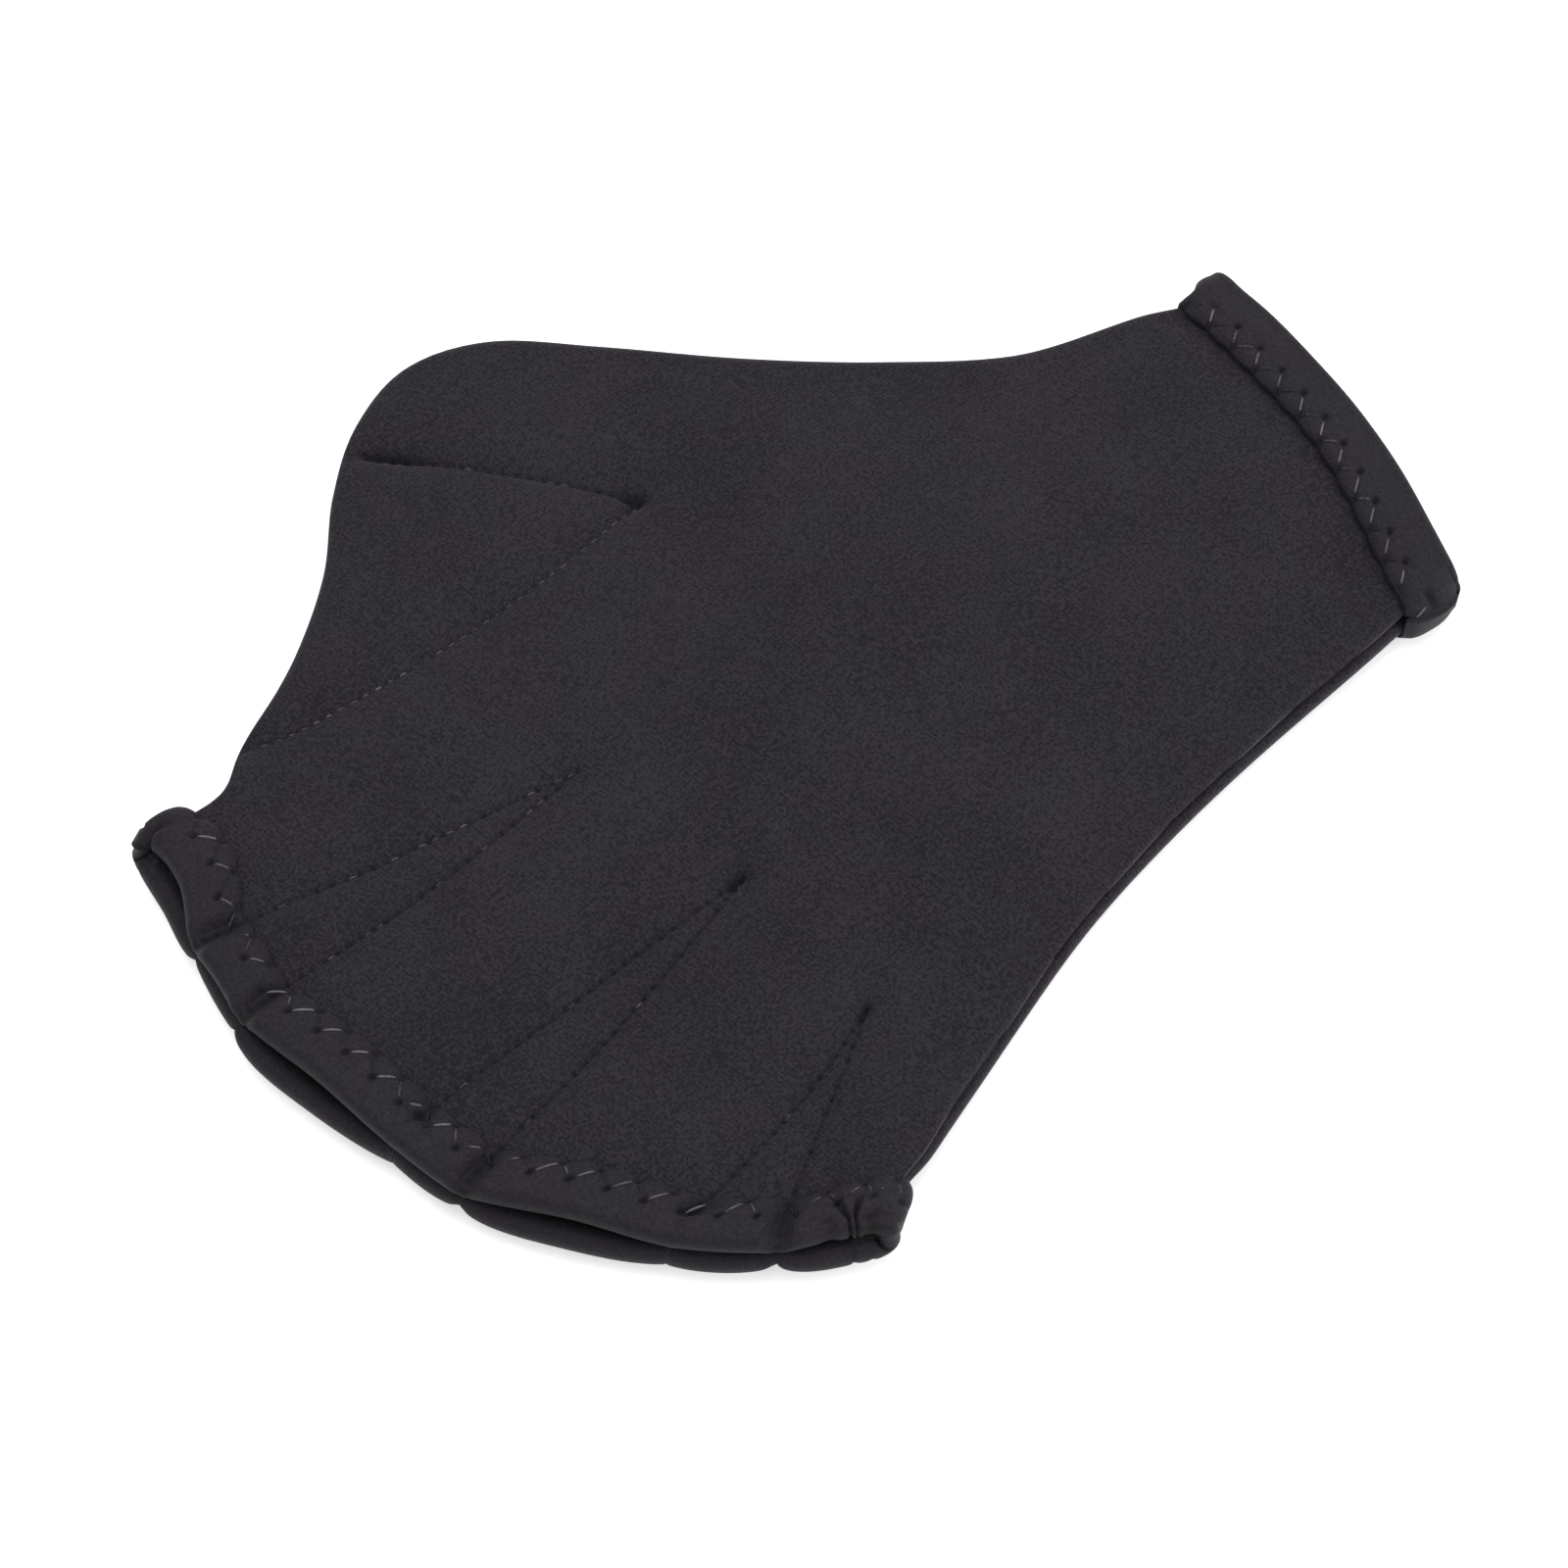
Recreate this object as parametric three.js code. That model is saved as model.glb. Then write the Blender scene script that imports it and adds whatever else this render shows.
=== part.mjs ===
// A webbed swim glove of black neoprene, lying flat as it rests by itself.
// Two equal panels are sewn together round the hand and turned, so each side edge is two stacked folds.
// Rows of stitching through both panels bound the thumb, the four finger channels and the webs.
// At the wrist and at the fingers each panel has a folded hem, and the hems meet at the side seams.
// Millimetres. +X runs from the wrist to the fingers, +Y from the thumb to the little finger, +Z up.
import * as THREE from "three";

// Overall pattern.
const gloveLength = 223;
const gloveWidth = 181;

// Neoprene sheet, the sewn gap between the panels and the gap under a hem.
const sheet = 2;
const seamGap = 0.3;
const hemGap = 0.3;

// Folded hems: their widths, how far the upper lip is drawn back over an open finger mouth, and how far
// the lower lip bulges out under it. Where a row of stitches pinches the lips, the hem is squeezed flatter.
const wristHemWidth = 12.4;
const fingerHemWidth = 9.4;
const lipDraw = 1.2;
const lipBulge = 1.3;
const lipFullness = 0.7;
const pinchSqueeze = 0.4;
const pinchReach = 3;

// Side seam: the allowance that is folded inside, and where the inner face has risen clear of it.
const allowanceFlat = 2.8;
const allowanceEnd = 5.2;

// How far each panel stands off the seam's height between the stitching, the further rise of the upper
// panel over the hand, how fast the sheet rises, and how far from a mouth its lift over the hem has gone.
const swell = 2.8;
const palmRise = 4;
const palmReach = 20;
const stitchReach = 2.4;
const liftReach = 28;
const holdGain = 1.15;

// At the wrist the hand's rise starts at this share, and it has its full height this far from the hem.
const wristSlack = 0.35;
const wristEaseReach = 3 * wristHemWidth;

// Where the first thumb row stops short of the side seam.
const thumbRowInset = 3.6;

// Outline of the panels. along is a share of the glove's length, across a share of its width.
const thumbSide = [
  { along: -0.47, across: -0.075 },
  { along: -0.4, across: -0.098 },
  { along: -0.302, across: -0.14 },
  { along: -0.217, across: -0.217 },
  { along: -0.132, across: -0.306 },
  { along: -0.053, across: -0.4 },
  { along: 0.013, across: -0.472 },
  { along: 0.08, across: -0.496 },
  { along: 0.143, across: -0.469 },
  { along: 0.194, across: -0.416 },
  { along: 0.24, across: -0.349 },
  { along: 0.296, across: -0.294 },
  { along: 0.357, across: -0.256 },
  { along: 0.407, across: -0.207 },
  { along: 0.483, across: -0.215 },
];
const littleSide = [
  { along: -0.425, across: 0.296 },
  { along: -0.352, across: 0.312 },
  { along: -0.245, across: 0.32 },
  { along: -0.134, across: 0.337 },
  { along: -0.029, across: 0.363 },
  { along: 0.072, across: 0.403 },
  { along: 0.168, across: 0.447 },
  { along: 0.245, across: 0.488 },
];
const wristMouth = [
  { along: -0.47, across: -0.075 },
  { along: -0.472, across: -0.02 },
  { along: -0.467, across: 0.053 },
  { along: -0.461, across: 0.123 },
  { along: -0.451, across: 0.192 },
  { along: -0.436, across: 0.256 },
  { along: -0.425, across: 0.296 },
];
const fingerMouth = [
  { along: 0.483, across: -0.215 },
  { along: 0.484, across: -0.15 },
  { along: 0.497, across: -0.088 },
  { along: 0.502, across: -0.004 },
  { along: 0.491, across: 0.08 },
  { along: 0.478, across: 0.16 },
  { along: 0.457, across: 0.24 },
  { along: 0.417, across: 0.313 },
  { along: 0.371, across: 0.388 },
  { along: 0.311, across: 0.445 },
  { along: 0.245, across: 0.488 },
];

// Rows of stitching, each from its apex. mouth is the share of the finger mouth where a row ends, side the
// share of the thumb side. bow is how far the row bends sideways, as a share of its length.
const stitchRows = [
  { along: 0.012, across: -0.235, side: 0.657, inset: thumbRowInset, bow: -0.022 },
  { along: 0.012, across: -0.235, side: 0.9, inset: 0, bow: 0.045 },
  { along: 0.19, across: -0.035, mouth: 0.149, bow: 0 },
  { along: 0.19, across: -0.035, mouth: 0.25, bow: 0.016 },
  { along: 0.149, across: 0.143, mouth: 0.467, bow: -0.01 },
  { along: 0.149, across: 0.143, mouth: 0.557, bow: 0.016 },
  { along: 0.144, across: 0.311, mouth: 0.768, bow: 0.038 },
  { along: 0.144, across: 0.311, mouth: 0.886, bow: 0 },
];

// How wide each stretch of the finger mouth stands open, from the thumb side to the little finger side.
const mouthOpening = [
  { to: 0.149, open: 1 },
  { to: 0.25, open: 0.25 },
  { to: 0.467, open: 1 },
  { to: 0.557, open: 0.3 },
  { to: 0.768, open: 1 },
  { to: 0.886, open: 0.4 },
  { to: 1, open: 0.8 },
];

// How finely the panels are divided.
const columnCount = 34;
const rowShares = [
  0.08, 0.18, 0.28, 0.37, 0.44, 0.49, 0.54, 0.58, 0.62, 0.66, 0.7, 0.74, 0.78, 0.82, 0.86, 0.9, 0.95,
];
const rimShares = [0, 0.13, 0.5, 1];
const noseAngles = [-50, 0, 50];
const noseDepth = 0.85;
const noseSpan = 2;
const rimMargin = 1.1;
const allowanceMargin = 1.05;
const overrun = 3;
const rowPoints = 12;
const outlinePoints = 90;
const settleRoom = 0.22;

// Heights that follow from the sizes above.
const hemRise = sheet + hemGap;
const seamHeight = sheet + swell + seamGap / 2;
const rimReach = rimMargin * sheet;
const allowanceReach = allowanceMargin * allowanceEnd;

const up = new THREE.Vector3(0, 0, 1);

function smooth(from, to, value) {
  return THREE.MathUtils.smoothstep(value, from, to);
}

function curveThrough(rows) {
  const points = rows.map(
    (row) => new THREE.Vector3(row.along * gloveLength, row.across * gloveWidth, 0),
  );
  return new THREE.CatmullRomCurve3(points, false, "catmullrom", 0.5);
}

const thumbCurve = curveThrough(thumbSide);
const littleCurve = curveThrough(littleSide);
const wristCurve = curveThrough(wristMouth);
const fingerCurve = curveThrough(fingerMouth);

// A point of the flat pattern: u runs from the wrist to the fingers, v across from the thumb side.
function patternPoint(u, v) {
  const point = new THREE.Vector3();
  point.addScaledVector(thumbCurve.getPointAt(u), 1 - v);
  point.addScaledVector(littleCurve.getPointAt(u), v);
  point.addScaledVector(wristCurve.getPointAt(v), 1 - u);
  point.addScaledVector(fingerCurve.getPointAt(v), u);
  point.addScaledVector(thumbCurve.getPointAt(0), -(1 - u) * (1 - v));
  point.addScaledVector(littleCurve.getPointAt(0), -(1 - u) * v);
  point.addScaledVector(thumbCurve.getPointAt(1), -u * (1 - v));
  point.addScaledVector(littleCurve.getPointAt(1), -u * v);
  return point;
}

// Side seams as chains of points, carried on past both mouths.
function sideChain(curve) {
  const chain = curve.getSpacedPoints(outlinePoints);
  const last = chain.length - 1;
  const before = chain[0].clone().multiplyScalar(1 + overrun).addScaledVector(chain[1], -overrun);
  const after = chain[last].clone().multiplyScalar(1 + overrun).addScaledVector(chain[last - 1], -overrun);
  return [before, ...chain, after];
}

const sideChains = [sideChain(thumbCurve), sideChain(littleCurve)];

// One row of stitches as a chain of points from its apex.
function stitchChain(row) {
  const apex = new THREE.Vector3(row.along * gloveLength, row.across * gloveWidth, 0);
  const atMouth = row.mouth !== undefined;
  const end = atMouth ? fingerCurve.getPointAt(row.mouth) : thumbCurve.getPointAt(row.side);
  const run = end.sub(apex);
  run.setLength(run.length() - (row.inset ?? 0));
  const sideways = new THREE.Vector3(-run.y, run.x, 0);
  const chain = [];
  for (let i = 0; i <= rowPoints; i++) {
    const share = i / rowPoints;
    const bend = row.bow * 4 * share * (1 - share);
    chain.push(apex.clone().addScaledVector(run, share).addScaledVector(sideways, bend));
  }
  return chain;
}

const stitchChains = stitchRows.map(stitchChain);

// The nearest point of a chain to a point.
function nearestOnChain(chain, point) {
  const segment = new THREE.Line3();
  const candidate = new THREE.Vector3();
  let best = { distance: Infinity, point: null };
  for (let i = 0; i + 1 < chain.length; i++) {
    segment.set(chain[i], chain[i + 1]);
    segment.closestPointToPoint(point, true, candidate);
    const distance = candidate.distanceTo(point);
    if (distance < best.distance) best = { distance, point: candidate.clone() };
  }
  return best;
}

// How open the finger mouth is at a share of its length: none where it is stitched together.
function openness(share) {
  let from = 0;
  for (const stretch of mouthOpening) {
    if (share <= stretch.to) {
      const part = (share - from) / (stretch.to - from);
      return stretch.open * Math.sin(Math.PI * THREE.MathUtils.clamp(part, 0, 1)) ** lipFullness;
    }
    from = stretch.to;
  }
  return 0;
}

// Share of the full rise between the rows of stitches, from 0 on a row to 1 well away from all of them.
function stitchHold(distances) {
  return distances.reduce((share, distance) => share * (1 - Math.exp(-distance / stitchReach)), 1);
}

function palmHold(distances) {
  return distances.reduce((share, distance) => share * (1 - Math.exp(-((distance / palmReach) ** 2))), 1);
}

// Everything about one place of the pattern that the panels and hems need.
function placeAt(point, u, v) {
  const sides = sideChains.map((chain) => nearestOnChain(chain, point));
  const side = sides[0].distance < sides[1].distance ? sides[0] : sides[1];
  if (v === 0 || v === 1) side.distance = 0;
  const rowDistances = stitchChains.map((chain) => nearestOnChain(chain, point).distance);
  const held = Math.min(1, holdGain * stitchHold(rowDistances));
  const fromFingers = point.distanceTo(patternPoint(1, v));
  const fromWrist = point.distanceTo(patternPoint(0, v));
  const fade = (distance, hemWidth) => 1 - smooth(hemWidth + 2, hemWidth + liftReach, distance);
  const lift = hemRise * Math.max(fade(fromFingers, fingerHemWidth), fade(fromWrist, wristHemWidth));
  const wristEase = wristSlack + (1 - wristSlack) * smooth(0, wristEaseReach, fromWrist);
  const palm = palmRise * wristEase * palmHold([sides[0].distance, sides[1].distance, ...rowDistances]);
  const squeeze = Math.exp(-((Math.min(...rowDistances) / pinchReach) ** 2));
  return { point, v, side, sideShare: v < 0.5 ? -1 : 1, relief: swell * held, palm, lift, squeeze };
}

// Direction straight out of the nearest side seam. On the seam itself it is square to the seam.
function outwardOf(place) {
  if (place.side.distance > 0) return place.side.point.clone().sub(place.point).normalize();
  const chain = place.sideShare < 0 ? sideChains[0] : sideChains[1];
  const ordered = [...chain].sort(
    (a, b) => a.distanceToSquared(place.point) - b.distanceToSquared(place.point),
  );
  const along = ordered[0].clone().sub(ordered[1]).normalize();
  const across = new THREE.Vector3(-along.y, along.x, 0);
  return across.y * place.sideShare < 0 ? across.negate() : across;
}

// The outer face, the inner face and the outward direction of one panel at one place.
// facing is 1 for the upper panel and -1 for the lower.
function sheetAt(place, facing) {
  const inRim = THREE.MathUtils.clamp(1 - place.side.distance / sheet, 0, 1);
  const round = Math.sqrt(1 - inRim * inRim);
  const rise = place.relief + (facing > 0 ? place.palm : 0);
  const seam = seamHeight + place.lift;
  const clear = smooth(allowanceFlat, allowanceEnd, place.side.distance);
  const outerHeight = seamGap / 2 + sheet + rise * round;
  const innerHeight = seamGap / 2 + sheet * (1 - round) + rise * clear;
  const normal = outwardOf(place).multiplyScalar(inRim).addScaledVector(up, facing * round);
  return {
    outer: place.point.clone().setZ(seam + facing * outerHeight),
    inner: place.point.clone().setZ(seam + facing * (inRim > 0.999 ? outerHeight : innerHeight)),
    normal,
    seam,
    squeeze: place.squeeze,
  };
}

// Distances from a mouth's edge of the three rows that lie under a hem, the panel's own end first.
function rowsUnder(hemWidth) {
  return [sheet + hemGap, (sheet + hemGap + hemWidth) / 2, hemWidth];
}

// Shares across the panel of one row of points: close together round each side fold, even between them.
function columnShares(width) {
  const rim = [...rimShares.map((share) => share * rimReach), allowanceReach].map((d) => d / width);
  const first = rim[rim.length - 1];
  const shares = [...rim];
  for (let i = 1; i < columnCount; i++) shares.push(first + ((1 - 2 * first) * i) / columnCount);
  return [...shares, ...rim.map((share) => 1 - share).reverse()];
}

// The grid of places that a panel and its hems share, rows from the wrist to the fingers.
function gridOf(facing) {
  const step = 0.01;
  const widthAt = (u) => patternPoint(u, 0).distanceTo(patternPoint(u, 1));
  const levels = [
    ...rowsUnder(wristHemWidth).map((distance) => ({ wrist: distance })),
    ...rowShares.map((share) => ({ share })),
    ...rowsUnder(fingerHemWidth).reverse().map((distance) => ({ fingers: distance })),
  ];
  return levels.map((level) => {
    const guess = level.share ?? (level.wrist === undefined ? 1 : 0);
    return columnShares(widthAt(guess)).map((v) => {
      const wristPace = patternPoint(0, v).distanceTo(patternPoint(step, v)) / step;
      const fingerPace = patternPoint(1, v).distanceTo(patternPoint(1 - step, v)) / step;
      const draw = (facing > 0 ? lipDraw : -lipBulge) * openness(v);
      const first = wristHemWidth / wristPace;
      const last = 1 - (fingerHemWidth + draw) / fingerPace;
      let u = first + (last - first) * (level.share ?? 0);
      if (level.wrist !== undefined) u = level.wrist / wristPace;
      if (level.fingers !== undefined) u = 1 - (level.fingers + draw) / fingerPace;
      return { point: patternPoint(u, v), u, v };
    });
  });
}

// Moves the nearest point of each line of the grid onto each row of stitches that passes there, so that
// the valleys are crisp. A point stays where it is if that would crowd it against its neighbour.
function settleOnRows(grid) {
  const rim = rimShares.length + 1;
  for (const row of grid) {
    for (const chain of stitchChains) {
      let nearest = { distance: Infinity };
      for (let j = rim; j < row.length - rim; j++) {
        const near = nearestOnChain(chain, row[j].point);
        if (near.distance < nearest.distance) nearest = { ...near, j };
      }
      const [before, after] = [row[nearest.j - 1].point, row[nearest.j + 1].point];
      const room = before.distanceTo(after) * settleRoom;
      const free = Math.min(nearest.point.distanceTo(before), nearest.point.distanceTo(after));
      if (nearest.distance < room && free > room) row[nearest.j].point = nearest.point;
    }
  }
  return grid;
}

function sheetGrid(facing) {
  return settleOnRows(gridOf(facing)).map((row) =>
    row.map((cell) => sheetAt(placeAt(cell.point, cell.u, cell.v), facing)),
  );
}

// Collects triangles, turned round for the lower panel and its hems, which are built upside down.
function triangleList(facing) {
  const positions = [];
  const add = (a, b, c) => {
    if (a.distanceTo(b) < 2e-3 || b.distanceTo(c) < 2e-3 || c.distanceTo(a) < 2e-3) return;
    for (const point of facing > 0 ? [a, b, c] : [a, c, b]) positions.push(point.x, point.y, point.z);
  };
  // A four-sided patch, split along the diagonal that the caller picks.
  const quad = (a, b, c, d, alongAC) => {
    if (alongAC) {
      add(a, b, c);
      add(a, c, d);
    } else {
      add(a, b, d);
      add(b, c, d);
    }
  };
  const geometry = () => {
    const made = new THREE.BufferGeometry();
    made.setAttribute("position", new THREE.Float32BufferAttribute(positions, 3));
    made.computeVertexNormals();
    return made;
  };
  return { add, quad, geometry };
}

// Whether a patch of the sheet folds along the diagonal from its first corner, which is the lower one.
function foldsAlong(grid, i, j) {
  const height = (cell) => Math.abs(cell.outer.z - cell.seam);
  return (
    height(grid[i][j]) + height(grid[i + 1][j + 1]) < height(grid[i + 1][j]) + height(grid[i][j + 1])
  );
}

function panelGeometry(grid, facing) {
  const list = triangleList(facing);
  const lastRow = grid.length - 1;
  const lastColumn = grid[0].length - 1;
  for (let i = 0; i < lastRow; i++) {
    for (let j = 0; j < lastColumn; j++) {
      const corners = [grid[i][j], grid[i + 1][j], grid[i + 1][j + 1], grid[i][j + 1]];
      const fold = foldsAlong(grid, i, j);
      const [a, b, c, d] = corners.map((cell) => cell.outer);
      list.quad(a, b, c, d, fold);
      const [e, f, g, h] = corners.map((cell) => cell.inner);
      list.quad(e, h, g, f, fold);
    }
  }
  for (let j = 0; j < lastColumn; j++) {
    const [near, next] = [grid[0][j], grid[0][j + 1]];
    list.quad(near.inner, near.outer, next.outer, next.inner, true);
    const [far, farNext] = [grid[lastRow][j], grid[lastRow][j + 1]];
    list.quad(far.outer, far.inner, farNext.inner, farNext.outer, true);
  }
  return list.geometry();
}

// One cross-section of a hem: over the sheet, round its end and back. rows are the three grid points
// under the hem, from the mouth inwards, and outwards points out of the mouth.
function hemSection(rows, outwards) {
  const [end, middle, edge] = rows;
  const thick = sheet * (1 - pinchSqueeze * end.squeeze);
  const raise = (cell, amount) => cell.outer.clone().addScaledVector(cell.normal, amount);
  const lean = new THREE.Vector3(-outwards.y, outwards.x, 0);
  if (lean.dot(end.normal) < 0) lean.negate();
  lean.multiplyScalar(Math.hypot(end.normal.x, end.normal.y)).setZ(end.normal.z);
  const nose = (reach, amount) =>
    end.outer.clone().addScaledVector(lean, amount).addScaledVector(outwards, reach);
  const top = hemGap + thick;
  const bottom = -noseDepth * thick;
  const half = (top - bottom) / 2;
  const section = [raise(edge, hemGap), raise(middle, hemGap)];
  section.push(nose(hemGap, hemGap));
  section.push(nose(hemGap, bottom));
  for (const angle of noseAngles) {
    const turn = THREE.MathUtils.degToRad(angle);
    section.push(nose(hemGap + sheet * Math.cos(turn), bottom + half + half * Math.sin(turn)));
  }
  section.push(nose(hemGap, top));
  section.push(raise(middle, hemGap + sheet * (1 - pinchSqueeze * middle.squeeze)));
  section.push(raise(edge, hemGap + sheet * (1 - pinchSqueeze * edge.squeeze)));
  return section;
}

// The section where a hem meets the other panel's hem at the side seam.
function hemEndRows(rows, facing) {
  return rows.map((cell) => ({
    ...cell,
    outer: cell.outer.clone().setZ(cell.seam + (facing * seamGap) / 2),
    squeeze: 0,
  }));
}

// A hem is a band of sections, one for each column of the sheet under it, and one more at each side seam.
function hemGeometry(grid, facing, atFingers) {
  const rowIndex = [0, 1, 2].map((i) => (atFingers ? grid.length - 1 - i : i));
  const columns = grid[0].map((_, j) => rowIndex.map((i) => grid[i][j]));
  const last = columns.length - 1;
  const outwards = columns.map((_, j) => {
    const before = columns[Math.max(j - noseSpan, 0)][0].outer;
    const after = columns[Math.min(j + noseSpan, last)][0].outer;
    const along = after.clone().sub(before).setZ(0).normalize();
    return new THREE.Vector3(along.y, -along.x, 0).multiplyScalar(atFingers ? 1 : -1);
  });
  const sections = [
    hemSection(hemEndRows(columns[0], facing), outwards[0]),
    ...columns.map((rows, j) => hemSection(rows, outwards[j])),
    hemSection(hemEndRows(columns[last], facing), outwards[last]),
  ];
  const list = triangleList(atFingers ? -facing : facing);
  const count = sections[0].length;
  for (let j = 0; j + 1 < sections.length; j++) {
    const column = THREE.MathUtils.clamp(j - 1, 0, last - 1);
    for (let k = 0; k < count; k++) {
      const next = (k + 1) % count;
      const onPanel = k < 2;
      const gridRow = onPanel ? Math.min(rowIndex[2 - k], rowIndex[1 - k]) : 0;
      const fold = onPanel ? foldsAlong(grid, gridRow, column) === atFingers : true;
      list.quad(sections[j][k], sections[j][next], sections[j + 1][next], sections[j + 1][k], fold);
    }
  }
  const flat = hemProfile(atFingers ? fingerHemWidth : wristHemWidth);
  const tail = sections[sections.length - 1];
  for (const [a, b, c] of THREE.ShapeUtils.triangulateShape(flat, [])) {
    list.add(sections[0][a], sections[0][b], sections[0][c]);
    list.add(tail[c], tail[b], tail[a]);
  }
  return list.geometry();
}

// The hem's section drawn flat, to divide its two ends into triangles.
function hemProfile(hemWidth) {
  const [end, middle, edge] = rowsUnder(hemWidth);
  const top = hemGap + sheet;
  const bottom = -noseDepth * sheet;
  const half = (top - bottom) / 2;
  const nose = noseAngles.map((angle) => {
    const turn = THREE.MathUtils.degToRad(angle);
    return [end - sheet * (1 + Math.cos(turn)), bottom + half + half * Math.sin(turn)];
  });
  const outline = [
    [edge, hemGap],
    [middle, hemGap],
    [end - hemGap, hemGap],
    [end - hemGap, bottom],
    ...nose,
    [end - hemGap, top],
    [middle, top],
    [edge, top],
  ];
  return outline.map(([along, height]) => new THREE.Vector2(along, height));
}

function addPiece(group, name, geometry, colour, roughness) {
  const material = new THREE.MeshStandardMaterial({ color: colour, roughness, metalness: 0 });
  const mesh = new THREE.Mesh(geometry, material);
  mesh.name = name;
  group.add(mesh);
}

const glove = new THREE.Group();
const panelColour = 0x322f34;
const hemColour = 0x2e2d31;
for (const [layer, facing] of [["upper", 1], ["lower", -1]]) {
  const grid = sheetGrid(facing);
  addPiece(glove, layer + "_panel", panelGeometry(grid, facing), panelColour, 0.9);
  addPiece(glove, layer + "_wrist_hem", hemGeometry(grid, facing, false), hemColour, 0.75);
  addPiece(glove, layer + "_finger_hem", hemGeometry(grid, facing, true), hemColour, 0.75);
}

// The part's origin is at the bottom centre of its box.
const box = new THREE.Box3().setFromObject(glove);
const centre = box.getCenter(new THREE.Vector3());
for (const mesh of glove.children) mesh.geometry.translate(-centre.x, -centre.y, -box.min.z);

export default glove;
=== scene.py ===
# A webbed swim glove of black neoprene, lying flat as it rests by itself.
# Metres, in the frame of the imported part: +X to the fingers, +Y to the little finger, +Z up.
import math

import bmesh
import bpy
import numpy as np
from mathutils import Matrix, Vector


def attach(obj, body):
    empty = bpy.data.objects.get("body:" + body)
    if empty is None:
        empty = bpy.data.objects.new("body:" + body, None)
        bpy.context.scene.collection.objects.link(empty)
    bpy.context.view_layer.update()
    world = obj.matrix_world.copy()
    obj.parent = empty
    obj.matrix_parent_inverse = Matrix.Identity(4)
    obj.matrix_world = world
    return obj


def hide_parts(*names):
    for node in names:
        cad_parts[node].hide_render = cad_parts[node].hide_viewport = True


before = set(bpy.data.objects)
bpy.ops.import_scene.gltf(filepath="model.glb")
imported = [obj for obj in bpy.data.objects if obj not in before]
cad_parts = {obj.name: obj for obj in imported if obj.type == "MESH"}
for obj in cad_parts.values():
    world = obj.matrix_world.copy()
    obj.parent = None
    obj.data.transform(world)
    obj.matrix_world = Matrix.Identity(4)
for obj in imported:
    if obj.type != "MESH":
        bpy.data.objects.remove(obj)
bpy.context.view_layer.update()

# The pattern of the glove
# Two equal panels of knit-faced neoprene, cut to one outline and sewn together along both sides.
# The outline's four curves give every place of the glove: u from wrist to fingers, v from thumb side across.

mm = 0.001
glove_length, glove_width = 223.0, 181.0
pattern_shift = np.array([-3.5013, -0.0316])

thumb_side = [
    (-0.47, -0.075), (-0.4, -0.098), (-0.302, -0.14), (-0.217, -0.217), (-0.132, -0.306),
    (-0.053, -0.4), (0.013, -0.472), (0.08, -0.496), (0.143, -0.469), (0.194, -0.416),
    (0.24, -0.349), (0.296, -0.294), (0.357, -0.256), (0.407, -0.207), (0.483, -0.215),
]
little_side = [
    (-0.425, 0.296), (-0.352, 0.312), (-0.245, 0.32), (-0.134, 0.337),
    (-0.029, 0.363), (0.072, 0.403), (0.168, 0.447), (0.245, 0.488),
]
wrist_mouth = [
    (-0.47, -0.075), (-0.472, -0.02), (-0.467, 0.053), (-0.461, 0.123),
    (-0.451, 0.192), (-0.436, 0.256), (-0.425, 0.296),
]
finger_mouth = [
    (0.483, -0.215), (0.484, -0.15), (0.497, -0.088), (0.502, -0.004), (0.491, 0.08), (0.478, 0.16),
    (0.457, 0.24), (0.417, 0.313), (0.371, 0.388), (0.311, 0.445), (0.245, 0.488),
]


class PatternLine:
    """A smooth line of the pattern, read by share of its length."""

    knot_steps = 60

    def __init__(self, rows):
        knots = np.array(rows) * [glove_length, glove_width]
        knots = np.vstack([2 * knots[0] - knots[1], knots, 2 * knots[-1] - knots[-2]])
        t = np.linspace(0, 1, self.knot_steps, endpoint=False)[:, None]
        runs = []
        for a, b, c, d in zip(knots, knots[1:], knots[2:], knots[3:]):
            bend = (2 * a - 5 * b + 4 * c - d) * t**2 + (3 * b - a - 3 * c + d) * t**3
            runs.append(0.5 * (2 * b + (c - a) * t + bend))
        self.points = np.vstack([*runs, knots[-2:-1]])
        steps = np.linalg.norm(np.diff(self.points, axis=0), axis=1)
        self.length = steps.sum()
        self.shares = np.concatenate([[0], np.cumsum(steps)]) / self.length

    def at(self, share):
        x = np.interp(share, self.shares, self.points[:, 0])
        y = np.interp(share, self.shares, self.points[:, 1])
        return np.stack([x, y], axis=-1)

    def chain(self, count=91):
        """Even points of the line, with one more three steps out past each end."""
        points = self.at(np.linspace(0, 1, count))
        before = 4 * points[0] - 3 * points[1]
        after = 4 * points[-1] - 3 * points[-2]
        return np.vstack([before, points, after])


thumb_line, little_line = PatternLine(thumb_side), PatternLine(little_side)
wrist_line, finger_line = PatternLine(wrist_mouth), PatternLine(finger_mouth)
side_chains = [thumb_line.chain(), little_line.chain()]


def pattern_point(u, v):
    """Where a place of the glove lies on the pattern, in millimetres."""
    u, v = np.broadcast_arrays(np.asarray(u, float), np.asarray(v, float))
    p, q = u[..., None], v[..., None]
    point = thumb_line.at(u) * (1 - q) + little_line.at(u) * q
    point += wrist_line.at(v) * (1 - p) + finger_line.at(v) * p
    for end, share in ((0, 1 - p), (1, p)):
        point -= share * ((1 - q) * thumb_line.at(float(end)) + q * little_line.at(float(end)))
    return point


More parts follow.
